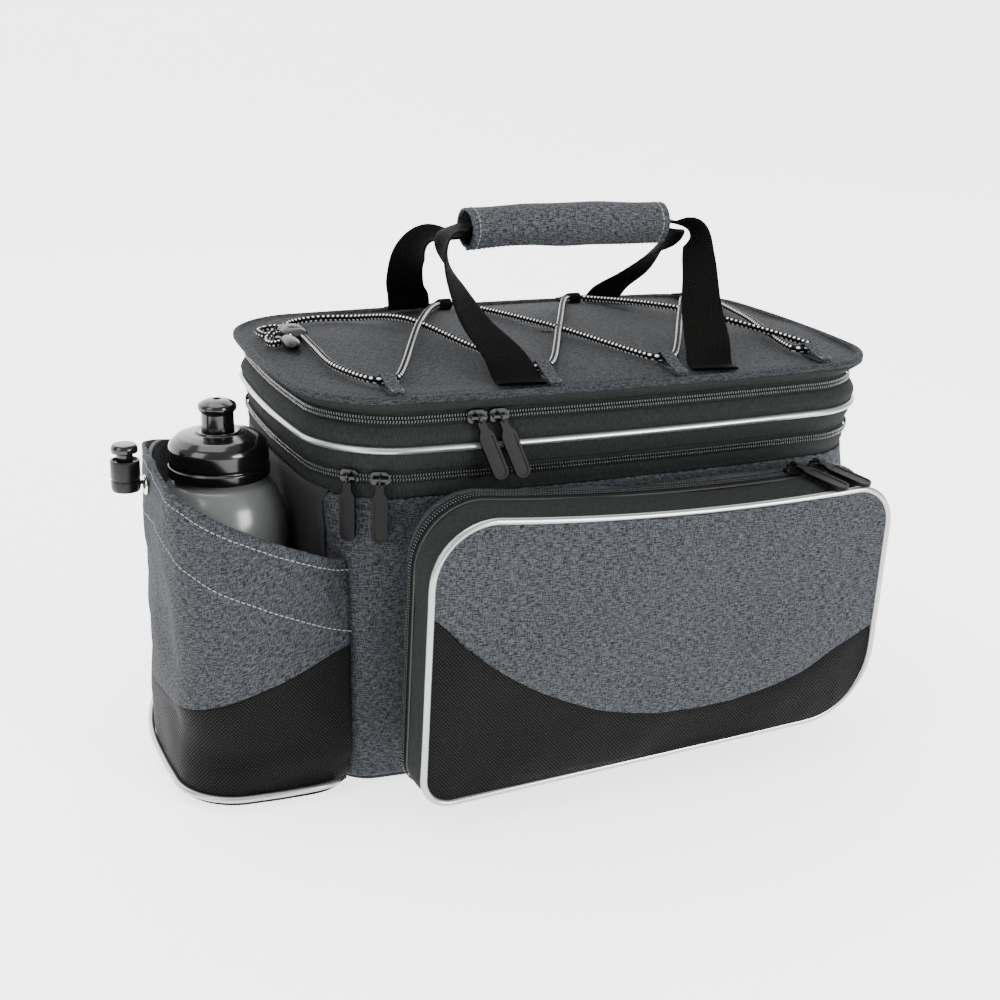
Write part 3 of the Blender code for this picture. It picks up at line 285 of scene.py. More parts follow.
SLATE = cloth("slate_melange", (0.0026, 0.0030, 0.0038), (0.068, 0.074, 0.083), MELANGE, 0.0004)
# The lid's copy of the slate melange is darker all over: painted shade on the lid cloth and its welt.
SHADED_LID_SLATE = cloth("lid_melange_painted_shade", (0.0022, 0.0026, 0.0032), (0.044, 0.047, 0.053), MELANGE, 0.0004)
# The grip's copy of the slate melange is lighter all over: painted sheen on the grip.
LIT_GRIP_SLATE = cloth("grip_melange_painted_sheen", (0.003, 0.0035, 0.0044), (0.090, 0.097, 0.107), MELANGE, 0.0004)
CHARCOAL = cloth("charcoal_knit", (0.0035, 0.0048, 0.0042), (0.017, 0.0215, 0.0192), RIBBED, 0.0005, 0.9)
TAPE = cloth("zip_tape", (0.0025, 0.0034, 0.003), (0.010, 0.0125, 0.0112), RIBBED, 0.0002, 0.9)


def dotted(name, ground, dot, pattern, rough, depth, ground_rough):
    made, g, shader = material(name, specular=0.09)
    mask = use(g, pattern).outputs["dot"]
    g.tree.links.new(g.mix(mask, ground, dot), shader.inputs["Base Color"])
    g.tree.links.new(g.range(mask, 0, 1, ground_rough, rough), shader.inputs["Roughness"])
    bump(g, shader, mask, depth)
    return made


# The dots' lighter colour is painted highlight on the raised glossy dots; their pattern, gloss and relief are real.
BALLISTIC = dotted("ballistic_weave", (0.0008, 0.0008, 0.0008), (0.010, 0.010, 0.0098),
                   BALLISTIC_DOTS, 0.34, 0.0004, 0.75)
BRAID = dotted("flecked_braid", (0.003, 0.003, 0.003), (0.80, 0.81, 0.80), BRAID_DOTS, 0.4, 0.0003, 0.75)


def webbing():
    made, g, shader = material("strap_webbing", (0.0030, 0.0028, 0.0025), 0.65, specular=0.03)
    bump(g, shader, use(g, STRAP_WEAVE).outputs["relief"], 0.0006)
    return made


WEBBING = webbing()
SILVER = material("silver_piping", (0.33, 0.335, 0.345), 0.30, 0.8, 0.3)[0]
COIL = material("coil_nylon", (0.016, 0.017, 0.0165), 0.22, 0.0, 0.3)[0]
METAL = material("black_enamel", (0.0025, 0.0025, 0.0025), 0.22, specular=0.35)[0]
RUBBER = material("pull_rubber", (0.0025, 0.0025, 0.0025), 0.45, specular=0.14)[0]
PLASTIC = material("gloss_black", (0.003, 0.003, 0.003), 0.16)[0]
SATIN = material("satin_black", (0.003, 0.003, 0.003), 0.36, specular=0.25)[0]
GREY_PLASTIC = material("grey_plastic", (0.030, 0.030, 0.031), 0.35, specular=0.3)[0]
NICKEL = material("nickel", (0.80, 0.79, 0.76), 0.16, 1.0)[0]
# Black lining of the base and the bottle pocket; on the sheet at the body's end its black is also painted shade.
MESH = material("black_lining_and_shade", (0.003, 0.003, 0.003), 0.85)[0]
BLACK_CORD = material("black_cord", (0.004, 0.004, 0.004), 0.7)[0]
THREAD = material("grey_thread", (0.24, 0.25, 0.26), 0.7)[0]
DARK_THREAD = material("dark_thread", (0.012, 0.012, 0.012), 0.6)[0]
SMOKED = material("smoked_bottle", (0.17, 0.175, 0.175), 0.24, 0.0, 0.1, 0.0, 0.35)[0]


# Ways of making pieces


def finished(thing, finish, body, nodes):
    """Gives a piece its material, the body it rides on and the solids it stands for."""
    thing.data.materials.append(finish)
    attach(thing, body)
    if nodes:
        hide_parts(*nodes)
    return thing


def linked(name, data):
    made = bpy.data.objects.new(name, data)
    bpy.context.scene.collection.objects.link(made)
    return made


def surface(name, rows, finish, around=False, thick=0.0, body="bag", nodes=(), flip=False, flat_uv=None, offset=-1.0):
    """A smooth skin through a grid of points, with a UV map in metres, thickened away from its outer side."""
    rows = np.asarray(rows, float)
    high, wide = rows.shape[:2]
    count = wide if around else wide - 1
    k, r = (a.ravel() for a in np.meshgrid(np.arange(count), np.arange(high - 1)))
    n = (k + 1) % wide
    quads = np.stack([r * wide + k, r * wide + n, (r + 1) * wide + n, (r + 1) * wide + k], 1)
    middle = rows[high // 2]
    u = np.concatenate([[0.0], np.cumsum(np.linalg.norm(np.roll(middle, -1, 0) - middle, axis=1))])
    v = np.concatenate([np.zeros((1, wide)), np.cumsum(np.linalg.norm(np.diff(rows, axis=0), axis=2), 0)])
    if flat_uv is None:
        uv = np.stack([np.stack([u[k], v[r, k]], 1), np.stack([u[k + 1], v[r, n]], 1),
                       np.stack([u[k + 1], v[r + 1, n]], 1), np.stack([u[k], v[r + 1, k]], 1)], 1)
    else:
        uv = rows.reshape(-1, 3)[quads][:, :, list(flat_uv)]
    if flip:
        quads, uv = quads[:, ::-1], uv[:, ::-1]
    mesh = bpy.data.meshes.new(name)
    mesh.from_pydata(rows.reshape(-1, 3).tolist(), [], quads.tolist())
    layer = mesh.uv_layers.new(name="UVMap")
    layer.data.foreach_set("uv", uv.reshape(-1))
    mesh.shade_smooth()
    made = linked(name, mesh)
    if thick:
        wall = made.modifiers.new("wall", "SOLIDIFY")
        wall.thickness = thick
        wall.offset = offset
        wall.use_even_offset = False
    return finished(made, finish, body, nodes)


def normals(rows, around):
    if around:
        du = np.roll(rows, -1, 1) - np.roll(rows, 1, 1)
    else:
        du = np.gradient(rows, axis=1)
    normal = np.cross(du, np.gradient(rows, axis=0))
    return normal / np.maximum(np.linalg.norm(normal, axis=2, keepdims=True), 1e-12)


def rumple(rows, around, height, size, seed, sign=1.0, where=None):
    """The grid pushed along its normals by soft noise of the size given, up to about the height given."""
    rows = np.asarray(rows, float)
    amount = np.array([[noise.noise(Vector(p) / size + Vector((seed, -seed, 2 * seed))) for p in row] for row in rows])
    if where is not None:
        amount = amount * where
    return rows + normals(rows, around) * sign * (amount * height)[..., None]


def tube(name, line, radius, finish, closed=False, sides=12, body="bag", nodes=(), squash=None):
    """A round piece along a line, with a UV map that runs along it and round it in metres."""
    line = np.asarray(line, float)
    ahead = np.roll(line, -1, 0) - np.roll(line, 1, 0) if closed else np.gradient(line, axis=0)
    ahead /= np.linalg.norm(ahead, axis=1, keepdims=True)
    up = np.zeros_like(line)
    up[0] = np.cross(ahead[0], (0.0, 0.0, 1.0) if abs(ahead[0][2]) < 0.9 else (1.0, 0.0, 0.0))
    for k in range(1, len(line)):
        up[k] = up[k - 1] - ahead[k] * np.dot(up[k - 1], ahead[k])
        up[k] /= np.linalg.norm(up[k])
    up[0] /= np.linalg.norm(up[0])
    side = np.cross(ahead, up)
    turn = np.linspace(0, 2 * math.pi, sides, endpoint=False)
    radii = np.broadcast_to(np.asarray(radius, float), (len(line),))[:, None, None]
    rows = line[:, None, :] + radii * (up[:, None, :] * np.cos(turn)[None, :, None]
                                       + side[:, None, :] * np.sin(turn)[None, :, None])
    if squash is not None:
        rows[..., 2] = line[:, None, 2] + (rows[..., 2] - line[:, None, 2]) * squash
    # The grid's columns run along the line and its rows round it
    grid = np.swapaxes(rows, 0, 1)
    grid = np.concatenate([grid, grid[:1]], 0)
    made = surface(name, grid, finish, around=closed, body=body, nodes=nodes, flip=True)
    if not closed:
        cap = made.modifiers.new("join", "WELD")
        cap.merge_threshold = 0.00002
    return made


def turned(name, profile, finish, place, steps=64, body="bag", nodes=()):
    """A turned piece about Z. The profile gives (radius, height) from the foot outside to the top inside."""
    turn = np.linspace(0, 2 * math.pi, steps, endpoint=False)
    rows = [[(place[0] + r * math.cos(t), place[1] + r * math.sin(t), place[2] + z) for t in turn] for r, z in profile]
    made = surface(name, rows, finish, around=True, body=body, nodes=nodes)
    made.data.set_sharp_from_angle(angle=math.radians(50))
    return made


def rounded(profile, radius, steps=4):
    """The profile with its inner corners turned into short arcs."""
    p = [np.array(q, float) for q in profile]
    found = [p[0]]
    for before, here, after in zip(p, p[1:], p[2:]):
        a, b = before - here, after - here
        la, lb = np.linalg.norm(a), np.linalg.norm(b)
        reach = min(radius, la * 0.45, lb * 0.45)
        start, end = here + a / la * reach, here + b / lb * reach
        for s in np.linspace(0, 1, steps):
            found.append((1 - s) ** 2 * start + 2 * s * (1 - s) * here + s ** 2 * end)
    return found + [p[-1]]


def block(name, sections, finish, body="bag", nodes=(), bevel=0.0):
    """A closed solid through sections of equal length, with flat ends and bevelled edges."""
    count = len(sections[0])
    points = [tuple(p) for section in sections for p in section]
    faces = [tuple(range(count))[::-1], tuple(range((len(sections) - 1) * count, len(sections) * count))]
    for r in range(len(sections) - 1):
        for k in range(count):
            n = (k + 1) % count
            faces.append((r * count + k, r * count + n, (r + 1) * count + n, (r + 1) * count + k))
    mesh = bpy.data.meshes.new(name)
    mesh.from_pydata(points, [], faces)
    made = linked(name, mesh)
    mesh.shade_smooth()
    if bevel:
        edge = made.modifiers.new("edge", "BEVEL")
        edge.width = bevel
        edge.segments = 3
        edge.harden_normals = True
    return finished(made, finish, body, nodes)


def resampled(line, spacing, closed=False, extra=()):
    """Points at equal spacing along a line, and the given arrays read at the same places."""
    line = np.asarray(line, float)
    path = np.concatenate([line, line[:1]]) if closed else line
    length = np.concatenate([[0.0], np.cumsum(np.linalg.norm(np.diff(path, axis=0), axis=1))])
    count = max(2, int(length[-1] / spacing))
    at = (np.arange(count) + 0.5) * length[-1] / count if closed else np.linspace(0, length[-1], count)
    found = []
    for values in (line, *extra):
        values = np.asarray(values, float)
        values = np.concatenate([values, values[:1]]) if closed else values
        found.append(np.stack([np.interp(at, length, values[:, k]) for k in range(3)], 1))
    return found


def scattered(name, centres, axes, shape, faces, finish, body="bag", nodes=()):
    """One mesh of a small shape copied to many places. axes holds three arrays of directions."""
    points = (centres[:, None, :] + shape[None, :, 0:1] * axes[0][:, None, :] + shape[None, :, 1:2] * axes[1][:, None, :]
              + shape[None, :, 2:3] * axes[2][:, None, :])
    count = len(shape)
    every = [tuple(i + base for i in face) for base in range(0, count * len(centres), count) for face in faces]
    mesh = bpy.data.meshes.new(name)
    mesh.from_pydata(points.reshape(-1, 3).tolist(), [], every)
    mesh.shade_smooth()
    return finished(linked(name, mesh), finish, body, nodes)


def capsule(rings, sides):
    """Points and faces of a small closed round bar along its first axis: (place, radius) for each ring."""
    points, faces = [], []
    for place, radius in rings:
        for k in range(sides):
            t = 2 * math.pi * k / sides
            points.append((place, radius * math.cos(t), radius * math.sin(t)))
    for r in range(len(rings) - 1):
        for k in range(sides):
            n = (k + 1) % sides
            faces.append((r * sides + k, r * sides + n, (r + 1) * sides + n, (r + 1) * sides + k))
    faces.append(tuple(range(sides))[::-1])
    faces.append(tuple(range((len(rings) - 1) * sides, len(rings) * sides)))
    return np.array(points), faces


def stitches(name, line, out, finish=THREAD, pitch=0.0032, radius=0.00028, lift=0.0001, body="bag", closed=False):
    """A row of stitches that stand a little out of the cloth along a line."""
    centres, outward = resampled(line, pitch, closed, (out,))
    ahead = np.gradient(centres, axis=0)
    ahead /= np.linalg.norm(ahead, axis=1, keepdims=True)
    outward /= np.linalg.norm(outward, axis=1, keepdims=True)
    side = np.cross(ahead, outward)
    half = pitch * 0.36
    shape, faces = capsule(((-half, radius * 0.3), (-half * 0.7, radius), (half * 0.7, radius), (half, radius * 0.3)), 5)
    return scattered(name, centres + outward * lift, (ahead, side, outward), shape, faces, finish, body)


def coil(name, line, across, out, lift=0.0011, body="bag"):
    """A closed zip's two rows of nylon teeth along its line."""
    centres, sideways, outward = resampled(line, COIL_PITCH, True, (across, out))
    ahead = np.roll(centres, -1, 0) - np.roll(centres, 1, 0)
    ahead /= np.linalg.norm(ahead, axis=1, keepdims=True)
    sideways /= np.linalg.norm(sideways, axis=1, keepdims=True)
    outward /= np.linalg.norm(outward, axis=1, keepdims=True)
    h, w = COIL_HALF, COIL_WIRE
    shape, faces = capsule(((0.06 * h, w * 0.5), (0.16 * h, w), (0.84 * h, w), (h, w * 0.45)), 6)
    first = (centres + outward * lift, (sideways, ahead, outward))
    second = (centres + outward * lift + ahead * COIL_PITCH * 0.3, (-sideways, ahead, outward))
    places = np.concatenate([first[0], second[0]])
    axes = [np.concatenate([a, b]) for a, b in zip(first[1], second[1])]
    return scattered(name, places, axes, shape, faces, COIL, body)


def smooth(points, longest):
    """Points along a centripetal curve through the given ones, a span split where it is longer than given."""
    p = [np.array(q, float) for q in points]
    p = [2 * p[0] - p[1]] + p + [2 * p[-1] - p[-2]]

    def between(a, b, start, end, t):
        return a + (b - a) * (t - start) / (end - start)

    found = []
    for i in range(1, len(p) - 2):
        a, b, c, d = p[i - 1:i + 3]
        knots = [0.0]
        for before, after in ((a, b), (b, c), (c, d)):
            knots.append(knots[-1] + math.sqrt(max(1e-6, math.dist(before[:3], after[:3]))))
        t0, t1, t2, t3 = knots
        splits = max(1, round(math.dist(b[:3], c[:3]) / longest))
        for k in range(splits):
            t = t1 + (t2 - t1) * k / splits
            middle = between(b, c, t1, t2, t)
            first = between(between(a, b, t0, t1, t), middle, t0, t2, t)
            last = between(middle, between(c, d, t2, t3, t), t1, t3, t)
            found.append(between(first, last, t1, t2, t))
    found.append(p[-2])
    return np.array(found)


def profile(z):
    """Draw-in at the sides and ends, corner radius and bottle press of the wall at a height."""
    share = z / RIM_HEIGHT
    side, end, corner, press = (np.interp(share, WALL_PROFILE[:, 0], WALL_PROFILE[:, k]) for k in (1, 2, 3, 4))
    return side * TUCK, end * TUCK, corner * CORNER_RADIUS, press * BOTTLE_PRESS


def outline(z, grow=0.0, drawn=None):
    """Fine plan of the outer wall at a height, anticlockwise from the near left corner."""
    side, end, corner, press = profile(z) if drawn is None else drawn
    a, b, r = HALF_LENGTH - end + grow, HALF_WIDTH - side + grow, corner + grow
    corners = ((-a + r, -b + r, 180), (a - r, -b + r, 270), (a - r, b - r, 0), (-a + r, b - r, 90))
    points = []
    for k, (cx, cy, start) in enumerate(corners):
        t = np.radians(start + 90 * np.linspace(0, 1, 15))
        arc = np.stack([cx + r * np.cos(t), cy + r * np.sin(t)], 1)
        nx, ny, turn = corners[(k + 1) % 4]
        t = math.radians(turn)
        goal = np.array((nx + r * math.cos(t), ny + r * math.sin(t)))
        s = np.linspace(0, 1, 49 if k % 2 == 0 else 27)[1:-1, None]
        points += [arc, arc[-1] + (goal - arc[-1]) * s]
    p = np.concatenate(points)
    along, across = 1 - (p[:, 0] / a) ** 2, 1 - (p[:, 1] / b) ** 2
    x = p[:, 0] * (1 + END_BOW / a * across) - np.where(p[:, 0] < 0, p[:, 0] / a * press * across, 0.0)
    return np.stack([x, p[:, 1] * (1 + SIDE_BOW / b * along)], 1)


def ring(z, grow=0.0, drawn=None):
    plan = outline(z, grow, drawn)
    return np.concatenate([plan, np.full((len(plan), 1), z)], 1)


def ring_out(line):
    """Level directions out of a closed ring."""
    ahead = np.roll(line, -1, 0) - np.roll(line, 1, 0)
    out = np.cross(ahead, (0.0, 0.0, 1.0))
    return out / np.linalg.norm(out, axis=1, keepdims=True)


def side_y(x, z):
    near = np.array(sorted((px, -py) for px, py in outline(z) if py < 0))
    return float(np.interp(x, near[:, 0], near[:, 1]))


# Main body and base: soft walls that hang from the bands, with slow waves where nothing holds them


def body_rows():
    rows = []
    for share in np.concatenate([np.linspace(0, 0.08, 7), np.linspace(0.11, 0.97, 34), [0.99, 1.0]]):
        z = BASE_THICKNESS + GAP + (BODY_TOP - BASE_THICKNESS - GAP) * share
        near = [profile(max(0.0, z + step)) for step in (-0.010, -0.005, 0.0, 0.005, 0.010)] if share > 0.1 else [profile(z)]
        rows.append(ring(z, 0.0, [float(np.mean([p[k] for p in near])) for k in range(4)]))
    return np.array(rows)


rows = body_rows()
fade = np.clip(np.sin(np.linspace(0, math.pi, len(rows)))[:, None] * 1.6, 0, 1)
rows = rumple(rows, True, 0.0032, 0.060, 3.1, where=fade)
rows = rumple(rows, True, 0.0010, 0.021, 8.4, where=fade)
surface("body_walls", rows, SLATE, around=True, thick=WALL, nodes=("main_body",))
plan = outline(BASE_THICKNESS, -0.25 * TUCK)
base = [[(x * s, y * s, z) for x, y in plan] for s, z in
        ((0.02, 0.0), (0.97, 0.0), (0.995, 0.0006), (1.0, 0.002), (0.995, 0.0036), (0.9, 0.004))]
surface("base_cloth", base, MESH, around=True, nodes=("base_panel",))


# Bands round the body: knitted binding above and below each zip, with a little roll between their seams


def band(name, top, height, finish, node, roll=0.0006, welt=0.0):
    rows = []
    for s in np.linspace(0, 1, 9):
        rows.append(ring(top - height * (1 - s), roll * math.sin(math.pi * s) + welt * s))
    return surface(name, rumple(rows, True, 0.0005, 0.03, top * 90), finish, around=True, thick=WALL, nodes=(node,))


band("lower_binding", LOWER_TOP + GAP, LOWER_BAND + GAP, CHARCOAL, "lower_band", 0.0008)
band("expansion_tape", EXPANSION_TOP + GAP, EXPANSION_ZIP + GAP, TAPE, "expansion_zip", -0.0004)
band("middle_binding", MIDDLE_TOP + GAP, MIDDLE_BAND + GAP, CHARCOAL, "middle_band", 0.0009)
band("upper_binding", UPPER_TOP + GAP, UPPER_BAND + GAP, CHARCOAL, "upper_band", 0.0009)
band("lid_tape", LID_ZIP_TOP + GAP, LID_ZIP + GAP, TAPE, "lid_zip", -0.0004)
for name, top, height in (("lid_coil", LID_ZIP_TOP, LID_ZIP), ("expansion_coil", EXPANSION_TOP, EXPANSION_ZIP)):
    line = ring(top - height / 2)
    coil(name, line, ring(top) - ring(top - height), ring_out(line))
line = ring(RING_Z, 0.0008)
tube("ring_piping", line, 0.0019, SILVER, closed=True, sides=14, nodes=("reflective_ring",))
tube("ring_flange", ring(RING_Z + 0.0016, -0.0002), 0.0010, CHARCOAL, closed=True, sides=8)


# Lid: a dark band below, a grey welt rolled over its edge, and the cloth panel stretched inside it


def lid_top(x, y):
    u, v = x / (HALF_LENGTH + END_BOW - LID_EDGE), y / (HALF_WIDTH + SIDE_BOW - LID_EDGE)
    share = min(1.0, math.hypot(u, v)) if abs(u) < 1 and abs(v) < 1 else 1.0
    return RIM_HEIGHT + LID_DOME * (1 - share ** 3)


rows = [ring(RIM_HEIGHT - LID_BAND - GAP), ring(RIM_HEIGHT - LID_BAND * 0.8, 0.0004), ring(RIM_HEIGHT - LID_BAND * 0.6, 0.0004),
        ring(RIM_HEIGHT * 0.985, 0.0002), ring(RIM_HEIGHT - 0.0026, 0.0), ring(RIM_HEIGHT - 0.0016, -0.0012)]
surface("lid_binding", rows, CHARCOAL, around=True, thick=WALL, nodes=("lid_band",))
line = ring(RIM_HEIGHT - 0.0014, -0.0026)
tube("lid_welt", line, 0.0026, SHADED_LID_SLATE, closed=True, sides=14)
edge = outline(RIM_HEIGHT, -LID_EDGE + 0.0006)
rows = []
for s in np.concatenate([[1.0, 0.995, 0.985, 0.97], np.linspace(0.94, 0.02, 40)]):
    sink = 0.0012 * max(0.0, 1 - abs(s - 0.975) / 0.025)
    rows.append([(x * s, y * s, lid_top(x * s, y * s) - sink) for x, y in edge])
rows = rumple(rows, True, 0.0016, 0.055, 5.7)
surface("lid_cloth", rows, SHADED_LID_SLATE, around=True, thick=0.0022, nodes=("lid_panel",), flat_uv=(0, 1))


# Side pockets: gusset, zip, band, piping and a puffed face over a dotted lower panel

POCKET_CORNERS = ((-0.497, 0.00, 0.42), (0.497, 0.08, 1.00), (0.497, 0.955, 0.55), (-0.497, 1.00, 0.85))
POCKET_SIDE_STEPS = (56, 26, 56, 30)
FACE_SEAM = ((-0.50, 0.72), (-0.46, 0.62), (-0.40, 0.52), (-0.27, 0.375), (-0.14, 0.27), (-0.05, 0.23),
             (0.09, 0.21), (0.18, 0.215), (0.28, 0.26), (0.41, 0.36), (0.50, 0.43))
MIDDLE_Z = POCKET_LIFT + POCKET_HEIGHT / 2


def pocket_loop(grow=0.0):
    """The pocket's outline as (x, z), anticlockwise from the lower left corner."""
    corner_points = [np.array((POCKET_CENTRE_X + POCKET_LENGTH * u, POCKET_LIFT + POCKET_HEIGHT * v))
                     for u, v, _ in POCKET_CORNERS]
    points = []
    for k, point in enumerate(corner_points):
        before, after = corner_points[k - 1] - point, corner_points[(k + 1) % 4] - point
        before, after = before / np.linalg.norm(before), after / np.linalg.norm(after)
        point = point - (before + after) * grow
        radius = POCKET_CORNERS[k][2] * POCKET_CORNER + grow
        start, end = point + before * radius, point + after * radius
        centre = start + end - point
        for t in np.linspace(0, math.pi / 2, 13):
            points.append(centre + (start - centre) * math.cos(t) + (end - centre) * math.sin(t))
        following, back = corner_points[(k + 1) % 4], -after
        onward = corner_points[(k + 2) % 4] - following
        onward = onward / np.linalg.norm(onward)
        following = following - (back + onward) * grow
        goal = following + back * (POCKET_CORNERS[(k + 1) % 4][2] * POCKET_CORNER + grow)
        for step in range(1, POCKET_SIDE_STEPS[k]):
            s = step / POCKET_SIDE_STEPS[k]
            sag = POCKET_SAG * 4 * s * (1 - s) if k == 2 else 0.0
            points.append(end + (goal - end) * s - np.array((0.0, sag)))
    return np.array(points)


def pocket_row(side, y, grow=0.0, ends=0.0, top=0.0, bottom=0.0):
    """One row of a pocket's band, its ends, top and bottom drawn in by the lengths given."""
    row = []
    for x, z in pocket_loop(grow):
        up = (z - MIDDLE_Z) / (POCKET_HEIGHT / 2)
        x -= ends * (x - POCKET_CENTRE_X) / (POCKET_LENGTH / 2)
        z -= top * up if up > 0 else bottom * up
        x += POCKET_LEAN * (z - MIDDLE_Z) / POCKET_HEIGHT
        row.append((x, side * (y(x, z) if callable(y) else y), z))
    return np.array(row)


def pocket_dome(x, z):
    u = (x - POCKET_CENTRE_X) / (POCKET_LENGTH / 2)
    v = (z - MIDDLE_Z) / (POCKET_HEIGHT / 2)
    return POCKET_DOME * max(0.0, 1 - u ** 4) * max(0.0, 1 - v ** 4)


def face_rows(side, lower):
    """Points of the part of a pocket's face above or below its curved seam."""
    loop = pocket_loop(-PIPING_RADIUS * 0.7)
    low_x, high_x = loop[:, 0].min() + 0.0002, loop[:, 0].max() - 0.0002
    chains = [np.array(sorted((p[0], p[1]) for p in loop if (p[1] > MIDDLE_Z) == above)) for above in (False, True)]
    seam_u, seam_v = np.array(FACE_SEAM).T
    columns = np.sin(np.linspace(-1, 1, 121) * math.pi / 2)
    grid = []
    for column in columns:
        x = (low_x + high_x) / 2 + (high_x - low_x) / 2 * column
        bottom, top = (float(np.interp(x, chain[:, 0], chain[:, 1])) for chain in chains)
        u = (x - POCKET_CENTRE_X) / POCKET_LENGTH
        seam = POCKET_LIFT + POCKET_HEIGHT * float(np.mean([np.interp(u + step, seam_u, seam_v)
                                                            for step in np.linspace(-0.035, 0.035, 9)]))
        low, high = (bottom, seam) if lower else (seam, top)
        shares = (1 - np.cos(np.linspace(0, math.pi, 45))) / 2
        line = []
        for share in shares:
            z = low + (high - low) * share
            near_seam = max(0.0, 1 - abs(z - seam) / 0.006)
            lift = pocket_dome(x, z) - 0.0009 * near_seam ** 2 + (0.0 if lower else 0.0004)
            line.append((x + POCKET_LEAN * (z - MIDDLE_Z) / POCKET_HEIGHT, side * (POCKET_FACE_Y + lift), z))
        grid.append(line)
    grid = np.swapaxes(np.array(grid), 0, 1)
    edge = np.minimum(1.0, 6 * (1 - np.abs(columns)))[None, :] * np.minimum(1.0, 8 * (shares if lower else 1 - shares))[:, None]
    grid = rumple(grid, False, 0.0030, 0.052, 11.3 if lower else 4.2, where=edge)
    return rumple(grid, False, 0.0010 if lower else 0.0006, 0.017, 6.6, where=edge)


def pocket(name, side):
    band_back = POCKET_FACE_Y - PIPING_RADIUS - GAP - POCKET_BAND
    zip_back = band_back - GAP - POCKET_ZIP
    flip = side > 0
    rows = []
    for s in np.linspace(0, 1, 22):
        ends = np.interp(s, (0, 0.55, 1), (1.2, 0.4, 0.0)) * TUCK
        top = np.interp(s, (0, 0.55, 1), (0.55, -0.15, -0.40)) * TUCK
        bottom = np.interp(s, (0, 0.55, 1), (1.0, 0.4, 0.0)) * TUCK
        rows.append(pocket_row(side, lambda x, z: (side_y(x, z) + WALL * 0.6) * (1 - s) + (zip_back - GAP) * s,
                               POCKET_FLARE, ends, top, bottom))
    fade = np.minimum(1, 5 * np.linspace(0, 1, 22) * (1 - np.linspace(0, 1, 22)))[:, None]
    rows = rumple(rows, True, 0.0024, 0.032, 2.3, -side, fade)
    surface(name + "_gusset_cloth", rows, SLATE, around=True, thick=WALL * 0.8, nodes=(name + "_gusset",), flip=flip)
    flare, step = POCKET_FLARE, -POCKET_STEP
    back, front = pocket_row(side, zip_back, flare, top=step), pocket_row(side, band_back - GAP, flare * 0.8, top=step * 0.75)
    surface(name + "_zip_tape", [back + (front - back) * s for s in np.linspace(-0.04, 1.04, 6)], TAPE, around=True,
            thick=WALL * 0.8, nodes=(name + "_zip",), flip=flip)
    line = (back + front) / 2
    ahead = np.roll(line, -1, 0) - np.roll(line, 1, 0)
    out = np.cross(ahead, (0.0, 1.0, 0.0)) * -1.0
    coil(name + "_coil", line, front - back, out)
    front, back = pocket_row(side, band_back + POCKET_BAND), pocket_row(side, band_back, flare * 0.8, top=step * 0.75)
    out = out / np.linalg.norm(out, axis=1, keepdims=True)
    rows = [back + (front - back) * s + out * 0.0012 * math.sin(math.pi * s) for s in np.linspace(0, 1.04, 12)]
    surface(name + "_binding", rumple(rows, True, 0.0008, 0.03, 7.7, -side), CHARCOAL, around=True, thick=WALL * 0.8,
            nodes=(name + "_band",), flip=flip)
    tube(name + "_binding_cord", back + out * 0.0002, 0.0006, DARK_THREAD, closed=True, sides=6)
    tube(name + "_bright_piping", pocket_row(side, POCKET_FACE_Y), PIPING_RADIUS * 1.05, SILVER, closed=True, sides=14,
         nodes=(name + "_piping",))
    upper = surface(name + "_face_cloth", face_rows(side, False), SLATE, thick=0.0022, nodes=(name + "_face",),
                    flip=flip, flat_uv=(0, 2))
    lower = surface(name + "_dotted_cloth", face_rows(side, True), BALLISTIC, thick=0.0022,
                    nodes=(name + "_lower_panel",), flip=flip, flat_uv=(0, 2))
    return upper, lower


pocket("near_pocket", -1)
pocket("far_pocket", 1)


# Bottle pocket: cloth wall with a turned hem, dotted skirt, floor, piping, eyelet and drawcord with its lock

HOLDER_LINE = np.array(((0.00, 0.715, 0.480), (0.11, 0.790, 0.390), (0.25, 0.905, 0.310), (0.34, 0.965, 0.280),
                        (0.41, 0.975, 0.262), (0.47, 0.955, 0.240), (0.56, 0.935, 0.220), (0.68, 0.890, 0.240),
                        (0.80, 0.830, 0.310), (0.90, 0.770, 0.390), (1.00, 0.715, 0.480)))
SWEEP_Y, SWEEP_REACH, SWEEP_POWER = -0.021, 0.066, 1.65


def sweep_x(y, inset=0.0):
    """How far the round far end of the bottle pocket has drawn back from its reach, at a place across."""
    share = min(1.0, max(0.0, (y - SWEEP_Y) / (HOLDER_HALF_WIDTH - inset - SWEEP_Y)))
    return SWEEP_REACH * (1 - (1 - share ** SWEEP_POWER) ** (1 / SWEEP_POWER))


